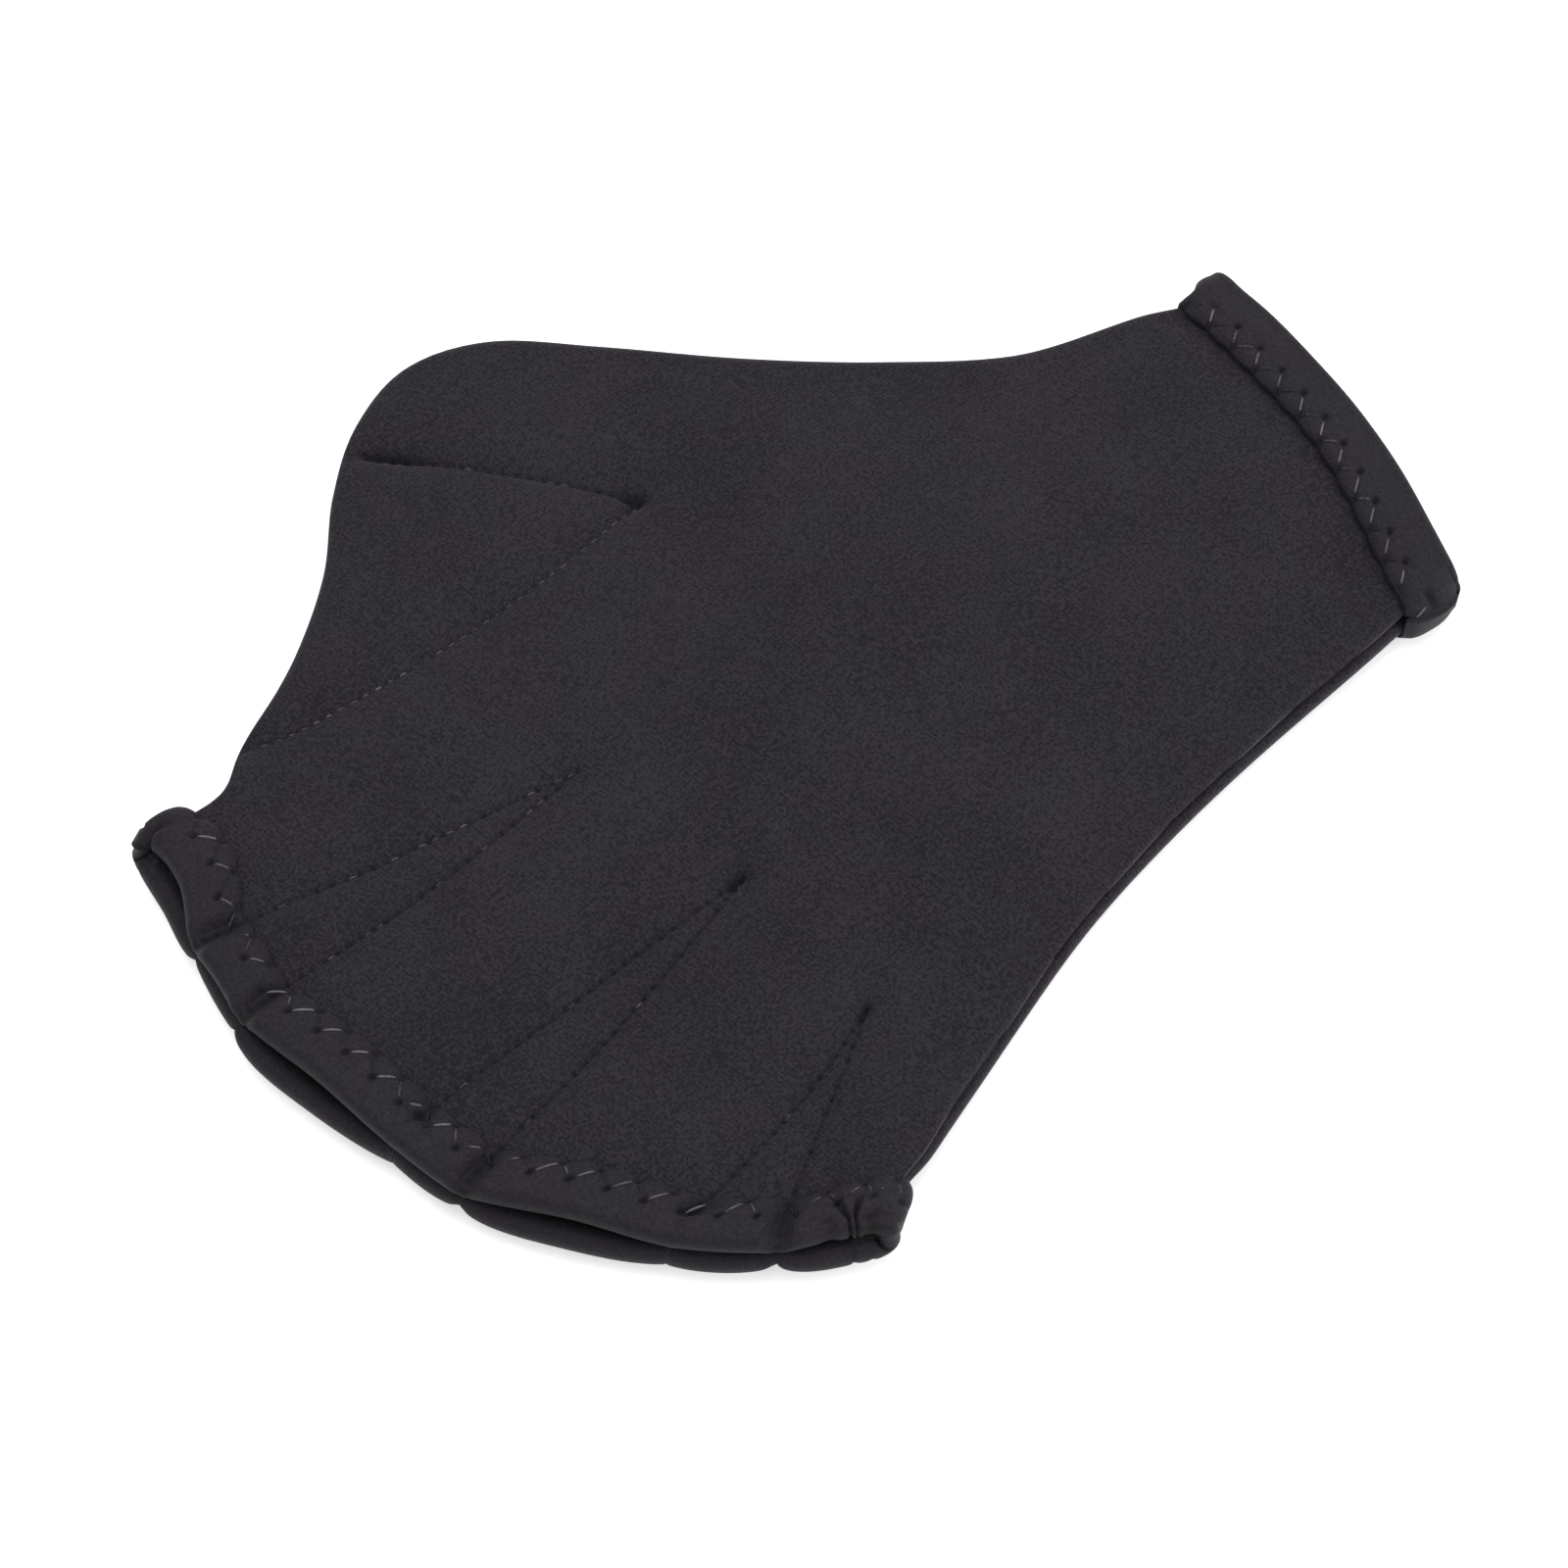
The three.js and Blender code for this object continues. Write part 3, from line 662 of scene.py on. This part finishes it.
def mouth_places(facing, at_fingers, distances, v):
    """Places of the panel's outer face at some distances in from a mouth's edge, one row for each."""
    v = v * (1 - drawn_in(np.full_like(v, 1.0 if at_fingers else 0.0), facing))
    u = (distances + (lip_back(v, facing) if at_fingers else 0)) / mouth_pace(at_fingers, v)
    u = 1 - u if at_fingers else u
    v = np.broadcast_to(v, u.shape)
    outer, _, lay = faces_of_sheet(pattern_point(u, v).reshape(-1, 2), v.reshape(-1), facing)
    normal = np.zeros_like(outer)
    normal[:, :2] = lay["outward"] * lay["in_rim"][:, None]
    normal[:, 2] = facing * lay["round"]
    return outer.reshape(*u.shape, 3), normal.reshape(*u.shape, 3), lay["nearest_row"].reshape(u.shape)


def needle_points(hem):
    """The zigzag's needle points: how far in from the mouth each is, and where along it."""
    size = hem_sizes[hem]
    along = np.arange(size["start"], size["line"].length + 3.2, size["pitch"] / 2)
    # Past the start of the side's roll the points run on down round it.
    roll = size["line"].length - sheet
    turn = np.clip((along - roll) / (hem_rise + sheet), 0, 1.3)
    along = np.where(along > roll, roll + sheet * np.sin(turn), along)
    v = along / size["line"].length
    at_edge = np.arange(len(along)) % 2 == 0
    return raw_edge(hem, v) - np.where(at_edge, size["inner"], size["outer"]), v


# Small folds that run out from a point where a mouth's corner is crumpled: the point, their reach, their
# number, how far round they are turned, and their depth.
crumples = [
    ((57.8, 85.2), 4.3, 7, 0.4, 2.0),
    ((105.7, -37.2), 4.6, 6, 0.9, 2.0),
]


def crumple_folds(points):
    total = np.zeros(points.shape[:-1])
    for centre, reach, folds, turn, depth in crumples:
        x, y = np.moveaxis(points[..., :2] - centre, -1, 0)
        away, angle = np.hypot(x, y), np.arctan2(y, x) + turn
        fold = (0.5 + 0.5 * np.cos(folds * angle + 0.4 * away)) ** 3
        total += depth * fold * bell(away, reach)
    return total


def hem_top(facing, hem, distances, v):
    """The hem's outer face over the panel: its points, their normals, heights, and painted shade with the
    black core at the raw edge.
    """
    at_fingers = hem == "fingers"
    mouth_length = hem_sizes[hem]["line"].length
    outer, normal, near_row = mouth_places(facing, at_fingers, distances, v)
    edge = raw_edge(hem, v)[None]
    inward = np.clip((edge - distances) / (edge - hem_rise), 0, 1)
    past_edge = smooth(0.1, 0.75, inward) * at_fingers
    squeeze = bell(near_row, pinch_reach)
    crease = bell(near_row, crease_reach) * (0.45 * at_fingers + 0.55 * past_edge)
    ridge = bell(near_row - ridge_place, ridge_reach) * past_edge
    # The needle points and the legs between them, by how far along the mouth and how far in they are.
    flat = np.stack([np.broadcast_to(v, outer.shape[:2]) * mouth_length, distances], axis=-1).reshape(-1, 2)
    needle_distances, needle_shares = needle_points(hem)
    chain = np.stack([needle_shares * mouth_length, needle_distances], axis=-1)
    near_leg = nearest_on(chain, flat)[0].reshape(near_row.shape)
    near_hole = np.full(len(flat), np.inf)
    for point in chain:
        near_hole = np.minimum(near_hole, np.hypot(*(flat - point).T))
    near_hole = near_hole.reshape(near_row.shape)
    thick = sheet * (1 - pinch_squeeze * squeeze) * (1 - edge_press * np.exp(-inward / press_reach))
    roll = (roll_height * np.sin(np.pi * inward) * (1 - squeeze) + ridge_height * ridge) * (facing > 0)
    folds = crumple_folds(outer)
    sewn_in = leg_groove * bell(near_leg, leg_reach) + needle_dent * bell(near_hole, needle_reach)
    height = hem_gap + np.maximum(thick + roll - crease_depth * crease - sewn_in - folds, thinnest)
    # Painted shade in the needle holes, the creases, beside them and in the crumpled folds; the raw cut edge
    # is darkened as the sheet's black core.
    depth = np.maximum.reduce(
        [
            hole_shade * bell(near_hole, 0.5),
            crease_shade * bell(near_row, 0.55) * at_fingers,
            beside_shade * bell(near_row, 1.4) * at_fingers,
            np.clip(0.7 * folds - 0.2, 0, 0.6),
            edge_shade * (inward < clean_cut),
        ]
    )
    return outer, normal, height, depth, near_row


def hem_half(facing, hem, v):
    """The sections of one panel's half of a hem, from the raw edge round the nose and back under."""
    at_fingers = hem == "fingers"
    near_edge = raw_edge(hem, v)[None] - edge_steps[:, None]
    shares = np.linspace(0, 1, 9)[1:, None]
    top_distances = np.vstack([near_edge, near_edge[-1:] * (1 - shares) + hem_rise * shares])
    outer, normal, height, top_shade_and_core, near_row = hem_top(facing, hem, top_distances, v)
    top = outer + normal * height[..., None]
    under = outer + normal * hem_gap
    end_outer, end_normal = outer[-1], normal[-1]
    before = np.vstack([end_outer[:1], end_outer[:-1]])
    after = np.vstack([end_outer[1:], end_outer[-1:]])
    along = after - before
    along[:, 2] = 0
    along = smooth_rows(along / np.linalg.norm(along, axis=1)[:, None], 8)
    along /= np.linalg.norm(along, axis=1)[:, None]
    outwards = np.stack([along[:, 1], -along[:, 0], np.zeros(len(along))], axis=1)
    outwards *= 1 if at_fingers else -1
    lean = np.stack([-outwards[:, 1], outwards[:, 0], np.zeros(len(along))], axis=1)
    lean *= np.where((lean * end_normal).sum(1) < 0, -1, 1)[:, None]
    lean *= np.hypot(end_normal[:, 0], end_normal[:, 1])[:, None]
    lean[:, 2] = end_normal[:, 2]
    half = (height[-1] + inside_face) / 2
    pinch = (0.5 if facing > 0 else 0.3) * bell(near_row[-1], 1.1) * at_fingers
    pinch = pinch + 0.7 * np.minimum(crumple_folds(end_outer), 1) * (facing > 0)
    nose, nose_shades = [], []
    for angle in np.linspace(84, -84, 11):
        turn = math.radians(angle)
        reach = hem_gap + (sheet * 1.02 - pinch) * math.cos(turn) ** 0.8
        rise = half + half * math.sin(turn) - inside_face
        nose.append(end_outer + outwards * reach[:, None] + lean * rise[:, None])
        # Painted shade on the nose: the top's shade runs round it, and the lip darkens as it turns in.
        turned_in = 0.55 * smooth(0, 100, 100 - angle) if facing > 0 else 0.25 * smooth(0, 110, 45 - angle)
        nose_shades.append(np.clip(top_shade_and_core[-1] * math.cos(turn) + turned_in * at_fingers, 0, darkest_painted_shade))
    back = [
        end_outer + outwards * reach + lean * rise
        for reach, rise in (
            (-1.6, -inside_face), (-1.6, 0.04 - inside_face), (0.12, 0.04 - inside_face), (0.12, hem_gap),
        )
    ]
    section = [*top, *nose, *back, *under[-2::-3]]
    # The hidden sections get a little painted shade.
    hidden_shades = np.full((len(section) - len(top) - len(nose), len(v)), hidden_shade)
    return np.stack(section, axis=1), np.vstack([top_shade_and_core, nose_shades, hidden_shades]).T


def smooth_rows(values, times):
    for _ in range(times):
        padded = np.vstack([values[:1], values, values[-1:]])
        values = (padded[:-2] + 2 * padded[1:-1] + padded[2:]) / 4
    return values


section_spacing, least_spacing = 0.32, 0.05


def hem_ring(name, hem, material):
    line = hem_sizes[hem]["line"]
    inside = np.linspace(rim_steps[-1], line.length - rim_steps[-1], int(line.length / section_spacing))
    # The sections stand closer together round each pinch.
    pinches = pinch_places[1:-1] if hem == "fingers" else []
    inside = np.concatenate([inside, *[at * line.length + np.linspace(-1.8, 1.8, 13) for at in pinches]])
    inside = np.sort(inside)
    inside = inside[np.concatenate([[True], np.diff(inside) > least_spacing])]
    v = np.concatenate([rim_steps[:-1], inside, line.length - rim_steps[:-1][::-1]]) / line.length
    (upper, upper_shade_and_core), (lower, lower_shade_and_core) = hem_half(1, hem, v), hem_half(-1, hem, v)

    def turned(a, b):
        """What carries the hem round a side seam, from one panel's half to the other's."""
        return [a * (1 - share) + b * share for share in (0.25, 0.5, 0.75)]

    def ring(a, b):
        return np.array([*a, *turned(a[-1], b[-1]), *b[::-1], *turned(b[0], a[0])])

    sections = ring(upper, lower)
    count, around = sections.shape[:2]
    index = np.arange(count * around).reshape(count, around)
    following = np.roll(index, -1, axis=0)
    quads = np.stack([index, np.roll(index, -1, axis=1), np.roll(following, -1, axis=1), following], axis=-1)
    quads = quads.reshape(-1, 4)[:, :: -1 if hem == "fingers" else 1].tolist()
    depth = ring(upper_shade_and_core, lower_shade_and_core).reshape(-1)
    return mesh_piece(name, sections.reshape(-1, 3), quads, material, depth)


hem_neoprene = neoprene(
    "hem neoprene", dark=(0.0084, 0.0079, 0.0102), light=(0.0192, 0.0177, 0.0225),
    mottle=0.75, rib_depth=0.12, roughness=0.72, bump=0.5, fluff=0.04,
)
wrist_hem = hem_ring("wrist_hem_cloth", "wrist", hem_neoprene)
finger_hem = hem_ring("finger_hem_cloth", "fingers", hem_neoprene)
for piece, place in ((wrist_hem, "wrist_hem"), (finger_hem, "finger_hem")):
    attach(piece, "root")
    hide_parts("upper_" + place, "lower_" + place)

# The thread
# Bonded polyester thread, dark grey with a slight gloss. Lockstitch rows go through both panels and show
# on both faces. The hems' zigzags run from the raw edge into the fold and back, drawn down into the cloth.

thread = bpy.data.materials.new("sewing thread")
thread.use_nodes = True
thread_nodes, thread_link = thread.node_tree.nodes, thread.node_tree.links.new
thread_shader = thread_nodes["Principled BSDF"]
twist = thread_nodes.new("ShaderNodeTexNoise")
twist.inputs["Scale"].default_value = 1900
twist.inputs["Detail"].default_value = 2
thread_place = thread_nodes.new("ShaderNodeTexCoord")
thread_link(thread_place.outputs["Object"], twist.inputs["Vector"])
# The "light" attribute lightens the thread: painted light and glints, with some random tone.
thread_light = thread_nodes.new("ShaderNodeAttribute")
thread_light.attribute_name = "light"
thread_mix = thread_nodes.new("ShaderNodeMath")
thread_mix.operation = "MULTIPLY_ADD"
thread_mix.inputs[1].default_value = 0.5
thread_link(twist.outputs["Fac"], thread_mix.inputs[0])
thread_link(thread_light.outputs["Fac"], thread_mix.inputs[2])
thread_colours = thread_nodes.new("ShaderNodeValToRGB")
dark_end, light_end = thread_colours.color_ramp.elements
dark_end.position, dark_end.color = 0.35, (0.012, 0.011, 0.013, 1)
light_end.position, light_end.color = 1.0, (0.2, 0.185, 0.2, 1)
thread_link(thread_mix.outputs[0], thread_colours.inputs["Fac"])
thread_link(thread_colours.outputs["Color"], thread_shader.inputs["Base Color"])
thread_shader.inputs["Roughness"].default_value = 0.75
thread_shader.inputs["Specular IOR Level"].default_value = 0.2


row_thread, zigzag_thread = 0.26 * mm, 0.4 * mm
leg_height, leg_sunk = 0.8, 0.6


def thread_leg():
    """One leg of thread, a unit long and thick: it rises out of the cloth, runs over it and dips in again."""
    stations = np.array([-0.47, -0.4, -0.25, 0, 0.25, 0.4, 0.47])
    turns = np.linspace(0, 2 * math.pi, 8, endpoint=False)
    radii = 0.5 * (1 - (2 * stations) ** 4) ** 0.5
    heights = leg_height * (1 - (2 * stations) ** 2) - leg_sunk
    points = [(-0.5, 0, -leg_sunk)]
    for x, radius, height in zip(stations, radii, heights):
        points += [(x, radius * math.cos(turn), height + radius * math.sin(turn)) for turn in turns]
    points.append((0.5, 0, -leg_sunk))
    sides, last = len(turns), len(points) - 1
    faces = [(0, 1 + (k + 1) % sides, 1 + k) for k in range(sides)]
    for ring in range(len(stations) - 1):
        start = 1 + ring * sides
        for k in range(sides):
            after = (k + 1) % sides
            faces.append((start + k, start + after, start + sides + after, start + sides + k))
    start = last - sides
    faces += [(start + k, start + (k + 1) % sides, last) for k in range(sides)]
    mesh = bpy.data.meshes.new("thread_leg")
    mesh.from_pydata(points, [], faces)
    mesh.polygons.foreach_set("use_smooth", [True] * len(faces))
    return bpy.data.objects.new("thread_leg", mesh)


def sewing_tree():
    """Lays one leg of thread at each point, turned and stretched along its own leg vector."""
    tree = bpy.data.node_groups.new("legs of thread", "GeometryNodeTree")
    face = tree.interface
    for name, kind in (
        ("Places", "Geometry"), ("Leg", "Object"), ("Thread", "Float"), ("Cover", "Float"), ("Seed", "Int"),
        ("Material", "Material"),
    ):
        face.new_socket(name, in_out="INPUT", socket_type="NodeSocket" + kind)
    face.new_socket("Stitches", in_out="OUTPUT", socket_type="NodeSocketGeometry")
    nodes, link = tree.nodes, tree.links.new
    given, result = nodes.new("NodeGroupInput"), nodes.new("NodeGroupOutput")

    def stored(name):
        node = nodes.new("GeometryNodeInputNamedAttribute")
        node.data_type = "FLOAT_VECTOR"
        node.inputs["Name"].default_value = name
        return node.outputs["Attribute"]

    def product(a, b):
        node = nodes.new("ShaderNodeMath")
        node.operation = "MULTIPLY"
        link(a, node.inputs[0])
        link(b, node.inputs[1])
        return node.outputs[0]

    leg, up = stored("leg"), stored("up")
    size = nodes.new("ShaderNodeVectorMath")
    size.operation = "LENGTH"
    link(leg, size.inputs[0])
    # The sockets of a random number: its least, its most and what it comes to.
    least, most, number = 2, 3, 1
    vary = nodes.new("FunctionNodeRandomValue")
    vary.data_type = "FLOAT"
    vary.inputs[least].default_value = 0.86
    vary.inputs[most].default_value = 1.06
    link(given.outputs["Seed"], vary.inputs["Seed"])
    length = product(product(size.outputs["Value"], given.outputs["Cover"]), vary.outputs[number])
    scale = nodes.new("ShaderNodeCombineXYZ")
    for axis, value in (("X", length), ("Y", given.outputs["Thread"]), ("Z", given.outputs["Thread"])):
        link(value, scale.inputs[axis])
    aim = nodes.new("FunctionNodeAxesToRotation")
    aim.primary_axis, aim.secondary_axis = "X", "Z"
    link(leg, aim.inputs[0])
    link(up, aim.inputs[1])
    shape = nodes.new("GeometryNodeObjectInfo")
    link(given.outputs["Leg"], shape.inputs["Object"])
    lay = nodes.new("GeometryNodeInstanceOnPoints")
    link(given.outputs["Places"], lay.inputs["Points"])
    link(shape.outputs["Geometry"], lay.inputs["Instance"])
    link(aim.outputs["Rotation"], lay.inputs["Rotation"])
    link(scale.outputs[0], lay.inputs["Scale"])
    real = nodes.new("GeometryNodeRealizeInstances")
    link(lay.outputs["Instances"], real.inputs["Geometry"])
    finish = nodes.new("GeometryNodeSetMaterial")
    link(real.outputs["Geometry"], finish.inputs["Geometry"])
    link(given.outputs["Material"], finish.inputs["Material"])
    link(finish.outputs["Geometry"], result.inputs["Stitches"])
    return tree


legs_of_thread = sewing_tree()


def sewn(name, legs, **settings):
    """A piece of stitches. Each leg has two ends in millimetres, its upward direction and its lightness,
    which is random tone plus painted light and glint.
    """
    starts, ends, ups, lights = (np.array(values) for values in zip(*legs))
    starts, ends = ((settled(side) + [*pattern_shift, 0]) * mm for side in (starts, ends))
    mesh = bpy.data.meshes.new(name + "_places")
    mesh.from_pydata(((starts + ends) / 2).tolist(), [], [])
    for key, values in (("leg", ends - starts), ("up", ups)):
        stored = mesh.attributes.new(key, "FLOAT_VECTOR", "POINT")
        stored.data.foreach_set("vector", values.reshape(-1).astype(np.float32))
    stored = mesh.attributes.new("light", "FLOAT", "POINT")
    stored.data.foreach_set("value", lights.astype(np.float32))
    places = bpy.data.objects.new(name + "_places", mesh)
    bpy.context.scene.collection.objects.link(places)
    shape = thread_leg()
    bpy.context.scene.collection.objects.link(shape)
    work = places.modifiers.new("sewing", "NODES")
    work.node_group = legs_of_thread
    sockets = {item.name: item.identifier for item in legs_of_thread.interface.items_tree}
    for key, value in {**settings, "Leg": shape, "Material": thread}.items():
        work[sockets[key]] = value
    evaluated = places.evaluated_get(bpy.context.evaluated_depsgraph_get())
    result = bpy.data.meshes.new_from_object(evaluated)
    piece = bpy.data.objects.new(name, result)
    result.name = name
    bpy.context.scene.collection.objects.link(piece)
    for helper in (places, shape):
        bpy.data.objects.remove(helper)
    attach(piece, "root")
    return piece


pattern_grid = np.meshgrid(np.linspace(0, 1, 120), np.linspace(0, 1, 240), indexing="ij")
pattern_grid = np.stack(pattern_grid, axis=-1).reshape(-1, 2)
grid_points = pattern_point(pattern_grid[:, 0], pattern_grid[:, 1])


def share_across(points):
    """v of points of the pattern, to the nearest point of an even grid."""
    nearest = [np.argmin(((grid_points - point) ** 2).sum(1)) for point in points]
    return pattern_grid[nearest, 1]


# How much painted light each row's thread gets, how much its tone varies at random along it, and how much
# lighter a painted glint makes one stitch in six.
# The two legs of a zigzag are painted lighter and darker as they turn to and away from the light.
row_vary, row_glint, glint_share = 0.08, 0.24, 0.16
zigzag_lights, zigzag_vary = (0.12, 0.42), 0.14
row_proud, zigzag_proud, beside_hole = 0.06, 0.02, 0.9
row_lights = [0.0, 0.26, 0.05, 0.03, -0.02, 0.0, -0.06, -0.06]
chance = np.random.default_rng(12)


def row_legs(facing):
    legs = []
    for row, chain, light in zip(stitch_rows, row_chains, row_lights):
        lengths, pitch = row_measure(chain)
        last = lengths[-1] - (finger_hem_width + 0.3 if "mouth" in row else 0)
        holes = np.arange(0, last, pitch)
        points = np.stack([np.interp(holes, lengths, chain[:, k]) for k in (0, 1)], axis=1)
        middles = (points[:-1] + points[1:]) / 2
        outer, _, _ = faces_of_sheet(middles, share_across(middles), facing)
        for start, end, middle in zip(points, points[1:], outer):
            height = middle[2] + facing * row_proud
            shine = light + row_glint * (chance.random() < glint_share) + chance.uniform(-row_vary, row_vary)
            legs.append(((*start, height), (*end, height), (0, 0, facing), shine))
    return legs


def zigzag_legs(facing, hem):
    distances, v = needle_points(hem)
    outer, normal, _ = mouth_places(facing, hem == "fingers", distances[None], v)
    # The legs lie at the height of the cloth beside their needle holes.
    beside_holes = distances[None] + beside_hole * np.where(np.arange(len(v)) % 2, 1, -1)
    _, _, height, _, _ = hem_top(facing, hem, beside_holes, v)
    places = (outer + normal * (height[..., None] + zigzag_proud))[0]
    legs = []
    for index, (start, end) in enumerate(zip(places, places[1:])):
        light = zigzag_lights[index % 2] + chance.uniform(-zigzag_vary, zigzag_vary)
        legs.append((start, end, normal[0, index], light))
    return legs


row_stitches, zigzags = [], []
for side, facing in (("upper", 1), ("lower", -1)):
    row_stitches.append(sewn(side + "_row_stitches", row_legs(facing), Thread=row_thread, Cover=0.6, Seed=3))
    legs = zigzag_legs(facing, "wrist") + zigzag_legs(facing, "fingers")
    zigzags.append(sewn(side + "_hem_zigzag", legs, Thread=zigzag_thread, Cover=0.66, Seed=5))

# Each panel is one flat cut: its outline is the pattern's, and the hems are its own folded margins.

# The floor, the light and the camera
# A plain white table under soft studio light, seen from above the finger side at the photograph's angle.

floor_mesh = bpy.data.meshes.new("floor")
half_floor = 3.0
floor_corners = [(x * half_floor, y * half_floor, 0) for x, y in ((-1, -1), (1, -1), (1, 1), (-1, 1))]
floor_mesh.from_pydata(floor_corners, [], [(0, 1, 2, 3)])
floor = bpy.data.objects.new("floor", floor_mesh)
floor.location.z = -0.0002
bpy.context.scene.collection.objects.link(floor)
floor_material = bpy.data.materials.new("white table")
floor_material.use_nodes = True
floor_shader = floor_material.node_tree.nodes["Principled BSDF"]
for socket, value in (
    ("Base Color", (0.9, 0.9, 0.9, 1)), ("Roughness", 0.9), ("Specular IOR Level", 0.1),
    ("Emission Color", (1, 1, 1, 1)), ("Emission Strength", 0.45),
):
    floor_shader.inputs[socket].default_value = value
floor_mesh.materials.append(floor_material)

world = bpy.data.worlds.new("soft studio")
bpy.context.scene.world = world
world.use_nodes = True
world.node_tree.nodes["Background"].inputs["Color"].default_value = (1, 1, 1, 1)
world.node_tree.nodes["Background"].inputs["Strength"].default_value = 0.75

azimuth, elevation = math.radians(141.87), math.radians(60)
target, camera_distance = Vector((13.244, 15.359, 5.0)) * mm, 0.60444
picture_right = Vector((math.cos(azimuth), math.sin(azimuth), 0))
picture_away = Vector((-math.sin(azimuth), math.cos(azimuth), 0))
picture_up = Vector((0, 0, 1))
back = picture_up * math.sin(elevation) - picture_away * math.cos(elevation)


def soft_light(name, direction, distance, size, power):
    lamp = bpy.data.lights.new(name, "AREA")
    lamp.shape = "SQUARE"
    lamp.size = size
    lamp.energy = power
    holder = bpy.data.objects.new(name, lamp)
    bpy.context.scene.collection.objects.link(holder)
    away = Vector(direction).normalized()
    holder.location = away * distance
    holder.rotation_mode = "QUATERNION"
    holder.rotation_quaternion = (-away).to_track_quat("-Z", "Y")


above = picture_up - picture_right * 0.1 + picture_away * 0.1
beside = picture_up * 0.5 + picture_right * 0.9 - picture_away * 0.3
soft_light("key light", above, distance=1.2, size=0.9, power=7)
soft_light("side light", beside, distance=1.2, size=0.8, power=5)

camera_data = bpy.data.cameras.new("camera")
camera_data.lens = 85
camera_data.sensor_width = 36
camera = bpy.data.objects.new("camera", camera_data)
bpy.context.scene.collection.objects.link(camera)
camera.rotation_mode = "QUATERNION"
camera.location = target + back * camera_distance
camera.rotation_quaternion = (-back).to_track_quat("-Z", "Y")
bpy.context.scene.camera = camera
bpy.context.scene.view_settings.view_transform = "Standard"
